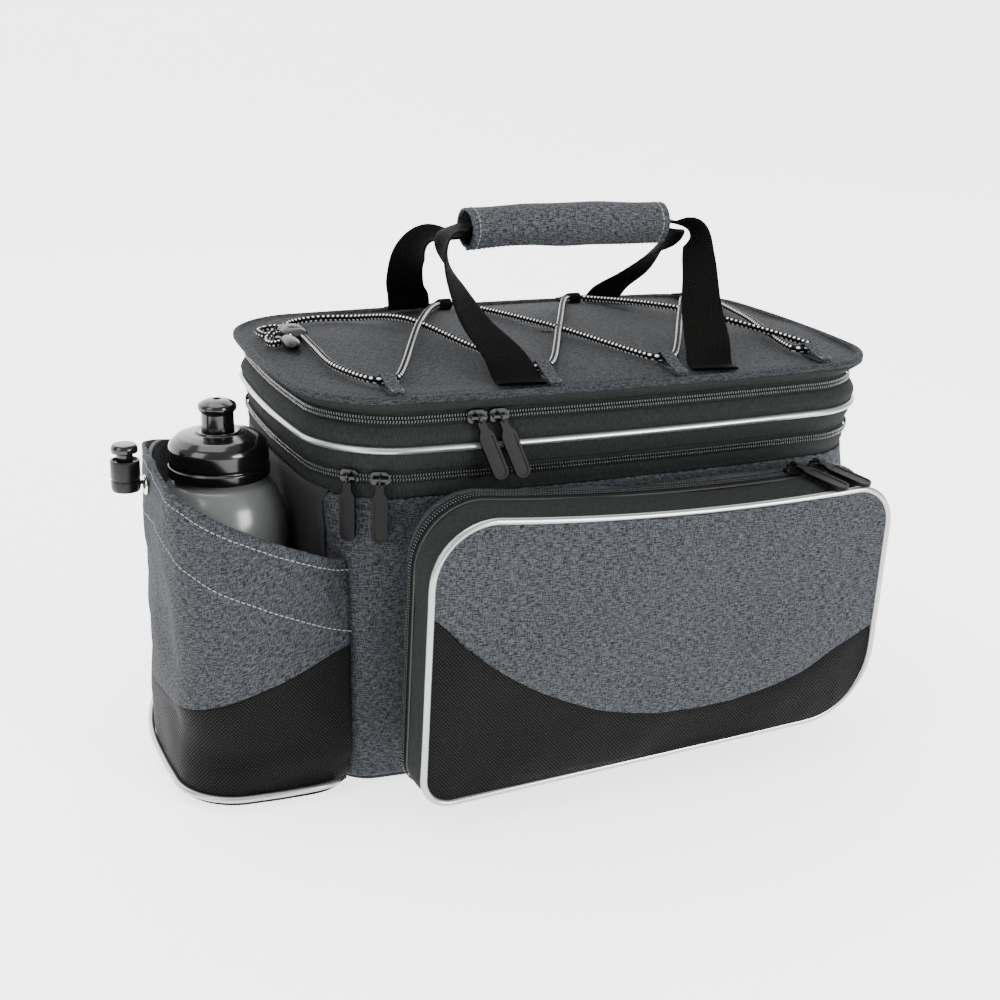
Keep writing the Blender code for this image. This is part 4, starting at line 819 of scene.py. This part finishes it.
def holder_path(z, inset=0.0):
    """Fine plan of the bottle pocket's wall from its near seam round to its far one."""
    half, reach, r = HOLDER_HALF_WIDTH - inset, HOLDER_REACH - inset, HOLDER_CORNER - inset
    foot = 0.0012 * max(0.0, 1 - z / 0.03) ** 2
    half, reach = half - foot * 0.5, reach - foot
    seam_y = side_y(-HOLDER_SEAM_X, z) + HOLDER_WALL * 1.8 - inset
    near = [(-HOLDER_SEAM_X, -seam_y), (-HOLDER_SEAM_X - HOLDER_SEAM_REACH, -half),
            (-HOLDER_SEAM_X - 2.6 * HOLDER_SEAM_REACH, -half - 0.6 * HOLDER_WALL)]
    for t in np.radians(270 - 90 * np.linspace(0, 1, 9)):
        near.append((-reach + 0.002 + r + r * math.cos(t), -half + r + r * math.sin(t)))
    near.append((-reach + 0.0005, -(half - r) / 2 - 0.012))
    far = []
    for t in np.radians(90 * np.linspace(0, 1, 13)):
        y = SWEEP_Y + (half - SWEEP_Y) * math.sin(t)
        far.append((-reach + sweep_x(y, HOLDER_HALF_WIDTH - half), y))
    far += [(-HOLDER_SEAM_X - HOLDER_SEAM_REACH, half), (-HOLDER_SEAM_X, seam_y)]
    whole = smooth([(x, y, z) for x, y in near + far], 0.004)
    return resampled(whole, 0.0024)[0]


PATHS = {}


def holder_point(share, z):
    key = round(z / 0.004)
    if key not in PATHS:
        PATHS[key] = holder_path(key * 0.004)
    path = PATHS[key]
    at = share * (len(path) - 1)
    k = min(int(at), len(path) - 2)
    x, y = (path[k] + (path[k + 1] - path[k]) * (at - k))[:2]
    return (x, y, z)


def holder_line(column):
    def height(share):
        return HOLDER_MOUTH * float(np.mean([np.interp(share + step, HOLDER_LINE[:, 0], HOLDER_LINE[:, column])
                                             for step in (-0.03, -0.015, 0.0, 0.015, 0.03)]))
    return height


def holder_rows(low, high, levels, count=150):
    shares = np.linspace(0, 1, count)
    return np.array([[holder_point(s, low(s) + (high(s) - low(s)) * level) for s in shares] for level in levels])


mouth, seam = holder_line(1), holder_line(2)
rows = holder_rows(seam, mouth, np.linspace(0, 1, 46))
levels = np.linspace(0, 1, 46)[:, None]
fade = np.minimum(1, 6 * levels * np.ones((1, 150)))
rows = rumple(rows, False, 0.0034, 0.050, 9.2, -1.0, fade)
rows = rumple(rows, False, 0.0010, 0.016, 1.7, -1.0, fade)
surface("bottle_pocket_cloth", rows, SLATE, thick=HOLDER_WALL, nodes=("bottle_pocket_wall",), flip=True)
shares = np.linspace(0, 1, 150)
out = -normals(rows, False)
for name, near_drop, end_drop in (("mouth_stitches", 0.006, 0.007), ("hem_stitches", 0.040, 0.034)):
    picked, way = [], []
    for k, s in enumerate(shares):
        z = mouth(s) - near_drop + (near_drop - end_drop) * min(1.0, s / 0.4)
        row = int(np.argmin(np.abs(rows[:, k, 2] - z)))
        if z > seam(s) + 0.004:
            picked.append((*rows[row, k, :2], z))
            way.append(out[row, k])
    stitches(name, picked, way)
rows = holder_rows(lambda s: HOLDER_FLOOR, seam, np.linspace(0, 1, 30))
levels = np.linspace(0, 1, 30)[:, None]
fade = np.minimum(1, 7 * levels * (1.02 - levels)) * np.ones((1, 150))
fold = np.zeros((30, 150))
for centre, height, reach, deep in ((0.10, 0.30, 0.030, 0.0030), (0.17, 0.42, 0.05, -0.0026), (0.90, 0.40, 0.05, 0.002)):
    fold += deep * np.exp(-((shares[None, :] - centre) / 0.06) ** 2 - ((levels - height - (shares[None, :] - centre) * 1.2) / 0.13) ** 2)
rows = rows - normals(rows, False) * (fold * fade)[..., None]
rows = rumple(rows, False, 0.0030, 0.035, 5.1, -1.0, fade)
surface("bottle_pocket_dotted", rows, BALLISTIC, thick=HOLDER_WALL, nodes=("bottle_pocket_skirt",), flip=True)
line = holder_path(0.008)
line[:, 2] = 0.0078
cut = line[4:-4]
way = np.gradient(cut, axis=0)
way = np.stack([way[:, 1], -way[:, 0], way[:, 2] * 0], 1)
way /= np.linalg.norm(way, axis=1, keepdims=True)
tube("bottle_pocket_bright_piping", cut - way * 0.0022, 0.0018, SILVER, sides=12, nodes=("bottle_pocket_piping",))
NODES["bottle_pocket_floor"].data.materials.clear()
NODES["bottle_pocket_floor"].data.materials.append(MESH)

# A black sheet over the body's end inside the bottle pocket: black lining, and painted shade of the gap between bottle
# and bag.
rows = []
for z in np.linspace(0.010, 0.172, 24):
    end = [p for p in ring(z, 0.0012) if p[0] < -0.12 and abs(p[1]) < 0.090]
    end.sort(key=lambda p: -p[1])
    rows.append(resampled(end, 0.0055)[0][:31])
count = min(len(row) for row in rows)
surface("end_lining_and_gap_shade", rumple(np.array([row[:count] for row in rows]), False, 0.0012, 0.03, 6.1), MESH, thick=0.0006, flip=True)

place = (-HOLDER_REACH - 0.0006, EYELET_Y, EYELET_HEIGHT)
turn = np.linspace(0, 2 * math.pi, 40, endpoint=False)
line = [(place[0], place[1] + EYELET_RADIUS * math.cos(t), place[2] + EYELET_RADIUS * math.sin(t)) for t in turn]
tube("eyelet_ring", line, 0.0010, NICKEL, closed=True, sides=12, nodes=("bottle_pocket_eyelet",))
lock_x, foot = -HOLDER_REACH - LOCK_STAND_OFF - LOCK_RADIUS, EYELET_HEIGHT - 0.002
r, h = LOCK_RADIUS, LOCK_HEIGHT
barrel = rounded(((0.0002, 0.0), (r * 0.93, 0.0), (r, 0.0022), (r, h * 0.34), (r * 0.95, h * 0.36), (r * 0.95, h * 0.42),
                  (r, h * 0.44), (r, h), (r * 0.82, h), (r * 0.82, h - 0.0015), (0.0002, h - 0.0015)), 0.0006)
turned("lock_barrel", barrel, SATIN, (lock_x, EYELET_Y, foot), nodes=("cord_lock_barrel",))
b, rise, top = BUTTON_RADIUS, BUTTON_RISE, foot + LOCK_HEIGHT + GAP
button = rounded(((0.0002, -0.0016), (b * 0.62, -0.0016), (b * 0.62, rise * 0.40), (b, rise * 0.46), (b * 1.02, rise * 0.78),
                  (b * 0.86, rise), (0.0002, rise)), 0.0007)
turned("lock_button", button, PLASTIC, (lock_x, EYELET_Y, top), nodes=("cord_lock_button",))
inside, hang = -HOLDER_REACH + HOLDER_WALL + DRAWCORD_RADIUS + 3 * GAP, HOLDER_MOUTH * 0.91
route = [(inside + sweep_x(y) + 0.0006, y, hang - drop) for y, drop in ((0.052, 0.006), (0.036, 0.003), (0.020, 0.001), (0.004, 0.0))]
route += [(inside + 0.0006, -0.014, hang - 0.001),
         (inside + 0.0003, EYELET_Y + 0.003, EYELET_HEIGHT + 0.004), (inside - 0.001, EYELET_Y, EYELET_HEIGHT),
         (-HOLDER_REACH - LOCK_STAND_OFF + 0.5 * GAP, EYELET_Y, EYELET_HEIGHT + 0.002)]
tube("drawcord", smooth(route, 0.002), DRAWCORD_RADIUS, BLACK_CORD, nodes=("bottle_pocket_drawcord",))


# Bottle: a smoked squeeze body, a screwed cap with a dark collar, and a push-pull spout

r, n, w, h = BOTTLE_RADIUS, BOTTLE_NECK, BOTTLE_WALL, BOTTLE_HEIGHT
outer = rounded(((0.0002, 0.002), (r * 0.55, 0.002), (r * 0.7, 0.0), (r * 0.9, 0.0), (r, 0.005), (r, h * 0.30), (r * 0.985, h * 0.33),
                 (r * 0.985, h * 0.36), (r, h * 0.39), (r, h * 0.72), (r * 0.975, h * 0.80), (r * 0.87, h * 0.87), (r * 0.74, h * 0.915),
                 (n, h * 0.935), (n, h), (n - w, h), (n - w, h * 0.93), (r * 0.74 - w, h * 0.905), (r * 0.87 - w, h * 0.86),
                 (r * 0.975 - w, h * 0.795), (r - w, h * 0.715), (r - w, 0.006), (r * 0.9 - w, 0.003), (0.0002, 0.0042)), 0.006, 6)
place = (BOTTLE_X, BOTTLE_Y, BOTTLE_FOOT)
turned("bottle_shell", outer, SMOKED, place, 72, nodes=("bottle_body",))
cap_foot = BOTTLE_FOOT + h * 0.935 + GAP
c, skirt, top, post = CAP_RADIUS, CAP_SKIRT, CAP_HEIGHT, SPOUT_POST
post_top = CAP_HEIGHT + SPOUT_HEIGHT * 0.5
cap = rounded(((n + GAP, 0.0004), (n + GAP, 0.0), (c, 0.0), (c, skirt * 0.50), (c * 0.965, skirt * 0.56), (c * 0.965, skirt * 0.66),
               (c * 0.985, skirt * 0.72), (c * 0.975, skirt * 1.45), (c * 0.93, top * 0.80), (c * 0.80, top * 0.93), (c * 0.60, top * 0.985),
               (SPOUT_RADIUS + 0.0042, top), (SPOUT_RADIUS + 0.0036, top + 0.0012), (SPOUT_RADIUS + 0.001, top + 0.0012),
               (post, top + 0.0002), (post, post_top), (0.0002, post_top)), 0.0012, 5)
turned("bottle_lid", cap, PLASTIC, (place[0], place[1], cap_foot), 72, nodes=("bottle_cap",))
s, head, reach = SPOUT_RADIUS, SPOUT_HEAD_RADIUS, SPOUT_HEIGHT
spout = rounded(((post + GAP, reach * 0.3), (post + GAP, 0.0), (s, 0.0), (s * 0.98, reach * 0.60), (head * 0.99, reach * 0.67),
                 (head * 1.03, reach * 0.76), (head * 0.98, reach * 0.86), (head * 0.62, reach * 0.97), (head * 0.3, reach),
                 (0.002, reach), (0.002, reach * 0.7)), 0.0014, 5)
turned("spout_piece", spout, PLASTIC, (place[0], place[1], cap_foot + top + GAP), 56, body="spout", nodes=("bottle_spout",))


# Handle: two webbing straps that turn on edge into a cloth grip with an overlapping flap

LEG = ((0.985, 0.0, 1.00), (0.90, 0.0, 1.00), (0.80, 0.13, 0.95), (0.60, 0.40, 0.85), (0.36, 0.72, 0.75),
       (0.16, 0.92, 0.70))
LEG_SWINGS = {
    (-1, -1): ((0.0, 0.0, 0.004, 0.014, 0.020, 0.016), (0, 0, 8, 30, 62, 85)),
    (-1, 1): ((0.0, 0.0, 0.002, 0.006, 0.013, 0.016), (0, 0, 18, 45, 65, 85)),
    (1, -1): ((0.0, 0.0, 0.004, 0.014, 0.020, 0.016), (0, 0, 8, 30, 62, 85)),
    (1, 1): ((0.0, 0.0, 0.004, 0.013, 0.019, 0.016), (0, 0, 0, 12, 55, 85)),
}


def strap_points(feet, side, layer):
    """Centre line, width share and turn of one strap, from its left foot to its right one."""
    grips = (GRIP_X - GRIP_LENGTH / 2, GRIP_X + GRIP_LENGTH / 2)
    legs = []
    for foot, grip, out in zip(feet, grips, (-1, 1)):
        leg = []
        for (y, rise, width), push, turn in zip(LEG, *LEG_SWINGS[side, out]):
            reach = 1 - y / LEG[0][0]
            x, y = foot + (grip - foot) * reach + out * push, side * HALF_WIDTH * y
            lie = lid_top(x, y) + 4 * GAP + STRAP_THICKNESS / 2 if rise < 0.2 else RIM_HEIGHT
            leg.append((x, y, lie + HANDLE_RISE * rise + layer * rise, width, turn))
        legs.append(leg)
    level = RIM_HEIGHT + HANDLE_RISE + layer
    held = [(grips[0] - 0.004, side * 0.001, level - 0.002), (grips[0] + 0.008, 0.0, level), (GRIP_X, 0.0, level),
            (grips[1] - 0.008, 0.0, level), (grips[1] + 0.004, side * 0.001, level - 0.002)]
    left = [(*row[:4], -side * row[4]) for row in legs[0]]
    right = [(*row[:4], -side * (180 - row[4])) for row in legs[1][::-1]]
    return left + [(*place, GRIPPED_WIDTH, -side * 90) for place in held] + right


def strap(name, rows, node):
    """A flat woven strip along a smooth line, its edges a little rounded."""
    samples = smooth(rows, 0.0025)
    across = np.array((-1.0, -0.97, -0.8, -0.4, 0.0, 0.4, 0.8, 0.97, 1.0))
    round_off = np.array((0.25, 0.75, 1.0, 1.0, 1.0, 1.0, 1.0, 0.75, 0.25))
    grid = []
    for k, sample in enumerate(samples):
        here = Vector(sample[:3])
        ahead = (Vector(samples[min(k + 1, len(samples) - 1)][:3]) - Vector(samples[max(k - 1, 0)][:3])).normalized()
        angle = math.radians(sample[4])
        wide = Vector((math.cos(angle), math.sin(angle), 0.0))
        wide = (wide - ahead * wide.dot(ahead)).normalized()
        thin = ahead.cross(wide)
        w = STRAP_WIDTH * sample[3] / 2
        cup = [0.0012 * (1 - sample[3]) / 0.3 * (1 - a * a) for a in across]
        upper = [here + wide * w * a + thin * (STRAP_THICKNESS / 2 * t + c) for a, t, c in zip(across, round_off, cup)]
        lower = [here + wide * w * a - thin * (STRAP_THICKNESS / 2 * t - c) for a, t, c in zip(across, round_off, cup)]
        grid.append(upper + lower[::-1])
    grid = np.swapaxes(np.array(grid), 0, 1)
    grid = np.concatenate([grid, grid[:1]], 0)
    return surface(name, grid, WEBBING, nodes=(node,), flip=True)


strap("near_webbing", strap_points((-0.0635, 0.0565), -1, STRAP_THICKNESS * 1.2), "near_strap")
strap("far_webbing", strap_points((-0.0560, 0.0860), 1, -STRAP_THICKNESS * 1.2), "far_strap")
rows = []
for s in np.linspace(0, 1, 60):
    x = GRIP_X + GRIP_LENGTH * (s - 0.5)
    droop = 0.0015 * math.sin(math.pi * s)
    row = []
    for k in np.linspace(0, 1, 64):
        t = math.radians(-118 + 380 * k)
        grow = 0.0 if k < 0.02 else 0.0014 * min(1.0, max(0.0, (k - 0.90) / 0.04))
        y, z = (GRIP_HALF_WIDTH + grow) * math.cos(t), (GRIP_HALF_HEIGHT + grow) * math.sin(t)
        row.append((x, y, RIM_HEIGHT + HANDLE_RISE + z + droop))
    rows.append(row)
rows = rumple(np.swapaxes(np.array(rows), 0, 1), False, 0.0018, 0.030, 12.5)
surface("grip_cloth", rows, LIT_GRIP_SLATE, thick=0.0016, nodes=("handle_grip",), flip=True)
out = -normals(rows, False)
for name, column in (("left", 2), ("right", 57)):
    stitches(f"grip_{name}_stitches", rows[2:-1, column], out[2:-1, column], pitch=0.0028)
stitches("grip_flap_stitches", rows[-3, 2:-2], out[-3, 2:-2], pitch=0.0030)


# Elastic cord laced through sewn loops over the lid, and the lock that holds its ends

NEAR_LOOPS, FAR_LOOPS = (-0.133, -0.044, 0.034, 0.134), (-0.034, 0.060, 0.148)


def on_lid(x, y, rise=0.0):
    return (x, y, lid_top(x, y) + CORD_RADIUS + 3 * GAP + LOOP_THICKNESS + rise)


def loop_foot(x):
    return side_y(x, RIM_HEIGHT) - LID_EDGE - 0.003


def cord_route():
    """The elastic cord from the lock at the left end, laced across the lid and back."""
    over, straight, lead = 2 * CORD_RADIUS + 2 * GAP, 0.5 * LOOP_WIDTH, LOOP_WIDTH
    route = [(-0.149, 0.0200, 0.0), (-0.151, -0.012, 0.0), (-0.151, -0.050, 0.0)]
    last = (-0.151, -0.050)
    order = ((0, -1), (0, 1), (2, -1), (2, 1), (3, -1), (1, 1), (1, -1))
    for count, (index, side) in enumerate(order):
        x = (NEAR_LOOPS if side < 0 else FAR_LOOPS)[index]
        y = side * (loop_foot(x) - LOOP_LENGTH)
        if count:
            route.append(((x + last[0]) / 2, (y + last[1]) / 2, over if count % 2 else 0.0))
        heading = -1 if (index, side) in ((1, 1), (1, -1)) else 1
        for step in (-lead, -straight, straight, lead):
            route.append((x + heading * step, y - side * (0.003 if abs(step) > straight else 0.0), 0.0))
        last = (x, y)
    route += [(-0.066, -0.040, 0.0), (-0.086, 0.022, over), (-0.107, 0.064, 0.0), (-0.128, 0.076, 0.0),
              (-0.147, 0.066, 0.0), (-0.151, 0.0425, 0.0)]
    return [on_lid(*point) for point in route]


tube("laced_cord", smooth(cord_route(), 0.002), CORD_RADIUS, BRAID, sides=12, nodes=("bungee_cord",))


def loop(name, x, side, node):
    """A folded tape sewn at the lid's edge, with the cord through its fold."""
    foot = loop_foot(x)
    y = foot - LOOP_LENGTH
    centre_z, r = on_lid(x, side * y)[2], CORD_RADIUS + 2 * GAP + LOOP_THICKNESS / 2
    middle = (foot + y) / 2
    low = [(foot + 0.001, lid_top(x, foot) + 2 * GAP), (middle, lid_top(x, middle) + 2 * GAP)]
    fold = [(y + r * math.cos(t), centre_z + r * math.sin(t)) for t in np.radians(-90 - 180 * np.linspace(0, 1, 9))]
    high = [(middle + 0.002, low[1][1] + LOOP_THICKNESS + 2 * GAP + 0.001), (foot + 0.001, low[0][1] + LOOP_THICKNESS + GAP)]
    line = smooth([(py, pz, 0.0) for py, pz in low + fold + high], 0.0012)
    across = np.linspace(-0.5, 0.5, 7) * LOOP_WIDTH
    rows = np.array([[(x + a, side * py, pz) for a in across] for py, pz, _ in line])
    made = surface(name, rows, SLATE if side < 0 else WEBBING, thick=LOOP_THICKNESS, nodes=(node,), flip=side < 0, offset=0.0)
    top = [(x + a, side * (foot - b), low[0][1] + LOOP_THICKNESS + GAP + 0.0008) for a, b in
           ((-0.0030, 0.001), (-0.0030, 0.012), (0.0030, 0.012), (0.0030, 0.001))]
    stitches(name + "_stitches", top, [(0, 0, 1)] * 4, THREAD, 0.0019, 0.00022)
    return made


for k, x in enumerate(NEAR_LOOPS):
    loop(f"near_tape_{k + 1}", x, -1, f"near_loop_{k + 1}")
for k, x in enumerate(FAR_LOOPS):
    loop(f"far_tape_{k + 1}", x, 1, f"far_loop_{k + 1}")

low, high = (Vector(v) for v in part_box("lid_cord_lock"))
centre, size = (low + high) / 2, high - low
rows = []
for t in np.linspace(0, 1, 17):
    along = low.y + size.y * t
    swell = (1 - abs(2 * t - 1) ** 5) ** 0.5 * (1 - 0.12 * math.exp(-((t - 0.62) / 0.07) ** 2))
    rows.append([(centre.x + size.x * 0.5 * max(0.06, swell) * math.copysign(abs(math.cos(a)) ** 0.7, math.cos(a)), along,
                  centre.z + size.z * 0.5 * max(0.06, swell) * math.copysign(abs(math.sin(a)) ** 0.7, math.sin(a)))
                 for a in np.linspace(0, 2 * math.pi, 32, endpoint=False)])
surface("lock_clip", rows, GREY_PLASTIC, around=True, nodes=("lid_cord_lock",), flip=True)
for k, t in enumerate((0.28, 0.42)):
    y = low.y + size.y * t
    line = [(centre.x + size.x * 0.52 * math.cos(a), y, centre.z + size.z * 0.52 * math.sin(a)) for a in
            np.linspace(0, 2 * math.pi, 32, endpoint=False)]
    tube(f"lock_clip_rib_{k + 1}", line, 0.0005, PLASTIC, closed=True, sides=6)
low, high = (Vector(v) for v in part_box("lid_cord_lock_knob"))
centre, size = (low + high) / 2, high - low
rows = []
for t in np.linspace(0, 1, 25):
    swell = max(0.04, 1 - abs(2 * t - 1) ** 2.6) ** 0.5
    rows.append([(centre.x + size.x * 0.5 * swell * math.cos(a), low.y + size.y * t, centre.z + size.z * 0.5 * swell * math.sin(a))
                 for a in np.linspace(0, 2 * math.pi, 32, endpoint=False)])
surface("lock_knob", rows, SATIN, around=True, nodes=("lid_cord_lock_knob",), flip=True)
tails = (((-0.1540, 0.0405, 0.0), (-0.1570, 0.0500, 0.0015), (-0.1630, 0.0560, 0.0), (-0.1690, 0.0500, 0.0), (-0.1680, 0.0380, 0.0),
          (-0.1630, 0.0300, 0.0), (-0.1600, 0.0260, 0.0)),
         ((-0.1560, 0.0215, 0.001), (-0.1620, 0.0160, 0.0), (-0.1690, 0.0120, 0.0), (-0.1705, 0.0220, 0.0), (-0.1650, 0.0290, 0.0030),
          (-0.1600, 0.0330, 0.0015)))
for k, tail in enumerate(tails):
    line = smooth([on_lid(*point) for point in tail], 0.0015)
    tube(f"cord_tail_{k + 1}", line, CORD_RADIUS * 0.9, BRAID, sides=12)
for k, (x, y) in enumerate(((-0.1600, 0.0275), (-0.1555, 0.0470))):
    knot = [on_lid(x + 0.0030 * math.cos(t), y + 0.0026 * math.sin(t), 0.0010 * math.sin(2 * t) + 0.0006) for t in
            np.linspace(0, 2 * math.pi, 28, endpoint=False)]
    tube(f"cord_knot_{k + 1}", knot, CORD_RADIUS * 0.95, BRAID, closed=True, sides=12)


# Zip sliders keep their solids with rounded edges. Each pull is a rubber tab with a raised rim

for name, thing in NODES.items():
    if "_slider_" in name:
        thing.data.materials.clear()
        thing.data.materials.append(METAL)
        edge = thing.modifiers.new("edge", "BEVEL")
        edge.width, edge.segments = 0.00045, 3
        edge.angle_limit = math.radians(40)
        thing.data.shade_smooth()


def tab_outline(half, start, end, neck, inset=0.0):
    """Half-round ended tab as (across, along) points."""
    points = [(-neck + inset, start + inset), (neck - inset, start + inset)]
    points += [(neck - inset, start + 0.0044)]
    wide = half - inset
    points += [(wide * 0.9, start + 0.0072), (wide, start + 0.0090)]
    for t in np.radians(np.linspace(0, 180, 17)):
        points.append((wide * math.cos(t), end - half + wide * math.sin(t)))
    points += [(-wide, start + 0.0090), (-wide * 0.9, start + 0.0072), (-neck + inset, start + 0.0044)]
    return points


def pull(name, joint):
    """A tab hung on its slider's bar, in the direction its solid takes."""
    at, axis = Vector(joint["pos_m"]), Vector(joint["axis"]).normalized()
    points = [Vector(v.co) - at for v in NODES[name].data.vertices]
    way = sum((p for p in points if p.length > 0.02), Vector()).normalized()
    normal = way.cross(axis).normalized()
    side = normal.cross(way)
    matrix = Matrix((side, way, normal)).transposed().to_4x4()
    matrix.translation = at
    reach = 0.0354
    for part, inset, half in (("slab", 0.0, 0.00065), ("rim", 0.0, 0.0011)):
        curve = bpy.data.curves.new(f"{name}_{part}", "CURVE")
        curve.dimensions = "2D"
        curve.fill_mode = "BOTH"
        curve.extrude = half - 0.0002
        curve.bevel_depth = 0.0002
        curve.bevel_resolution = 2
        shapes = [tab_outline(0.0042, 0.0024, reach, 0.0021)]
        if part == "rim":
            shapes.append([(a, b) for a, b in tab_outline(0.0031, 0.0110, reach - 0.0011, 0.0031)])
        for shape in shapes:
            line = curve.splines.new("POLY")
            line.points.add(len(shape) - 1)
            for point, (a, b) in zip(line.points, shape):
                point.co = (a, b, 0.0, 1.0)
            line.use_cyclic_u = True
        made = linked(f"{name}_{part}", curve)
        made.matrix_world = matrix
        finished(made, RUBBER, name, (name,) if part == "slab" else ())
    turn = np.linspace(0, 2 * math.pi, 28, endpoint=False)
    centre = at + way * 0.0008
    line = [centre + way * (0.0026 * math.cos(t)) + normal * (0.0018 * math.sin(t)) for t in turn]
    tube(f"{name}_eye", line, 0.00052, METAL, closed=True, sides=8, body=name)


for joint in frame["joints"]:
    if joint["type"] == "hinge":
        pull(joint["child"], joint)


# Stage: a pale floor that runs up behind, a wide soft light and the photograph's camera

floor = []
for s in np.linspace(-1, 1, 3):
    floor.append([(s * 6.0, y, z) for y, z in
                  [(-3.0, 0.0), (1.6, 0.0)] + [(1.6 + 1.2 * math.sin(t), 1.2 - 1.2 * math.cos(t)) for t in np.radians(np.linspace(10, 90, 9))]
                  + [(2.8, 6.0)]])
mesh = bpy.data.meshes.new("floor")
count = len(floor[0])
mesh.from_pydata([p for row in floor for p in row], [],
                 [(r * count + k, (r + 1) * count + k, (r + 1) * count + k + 1, r * count + k + 1)
                  for r in range(2) for k in range(count - 1)])
mesh.shade_smooth()
backdrop = linked("floor", mesh)
paper, _, shader = material("pale_floor", (0.95, 0.95, 0.95), 0.9)
shader.inputs["Emission Color"].default_value = (1.0, 1.0, 1.0, 1.0)
shader.inputs["Emission Strength"].default_value = 2.2
mesh.materials.append(paper)

world = bpy.data.worlds.new("soft_sky")
bpy.context.scene.world = world
world.use_nodes = True
world.node_tree.nodes["Background"].inputs["Color"].default_value = (1.0, 1.0, 1.0, 1.0)
world.node_tree.nodes["Background"].inputs["Strength"].default_value = 0.85


def area_light(name, place, goal, size, power):
    data = bpy.data.lights.new(name, "AREA")
    data.shape = "RECTANGLE"
    data.size, data.size_y = size
    data.energy = power
    made = linked(name, data)
    made.location = place
    made.rotation_euler = (Vector(goal) - Vector(place)).to_track_quat("-Z", "Y").to_euler()


area_light("top_light", (-0.3, 0.2, 1.9), (0, 0, 0.1), (1.4, 1.2), 24)
area_light("left_light", (-1.5, -0.7, 1.0), (0, 0, 0.12), (0.8, 1.0), 14)
area_light("front_light", (0.9, -1.7, 0.75), (0, 0, 0.10), (0.9, 0.7), 48)

yaw, pitch, roll = 0.40954, 0.32660, -0.02991
ahead = Vector((math.sin(yaw) * math.cos(pitch), math.cos(yaw) * math.cos(pitch), -math.sin(pitch)))
right = Vector((math.cos(yaw), -math.sin(yaw), 0.0))
down = ahead.cross(right)
right, down = right * math.cos(roll) + down * math.sin(roll), down * math.cos(roll) - right * math.sin(roll)
camera = linked("camera", bpy.data.cameras.new("camera"))
camera.data.lens = 53.57
camera.data.sensor_width = 36.0
camera.data.clip_start = 0.01
camera.matrix_world = Matrix.Translation((-0.3830, -0.8172, 0.4265)) @ Matrix((right, -down, -ahead)).transposed().to_4x4()
bpy.context.scene.camera = camera
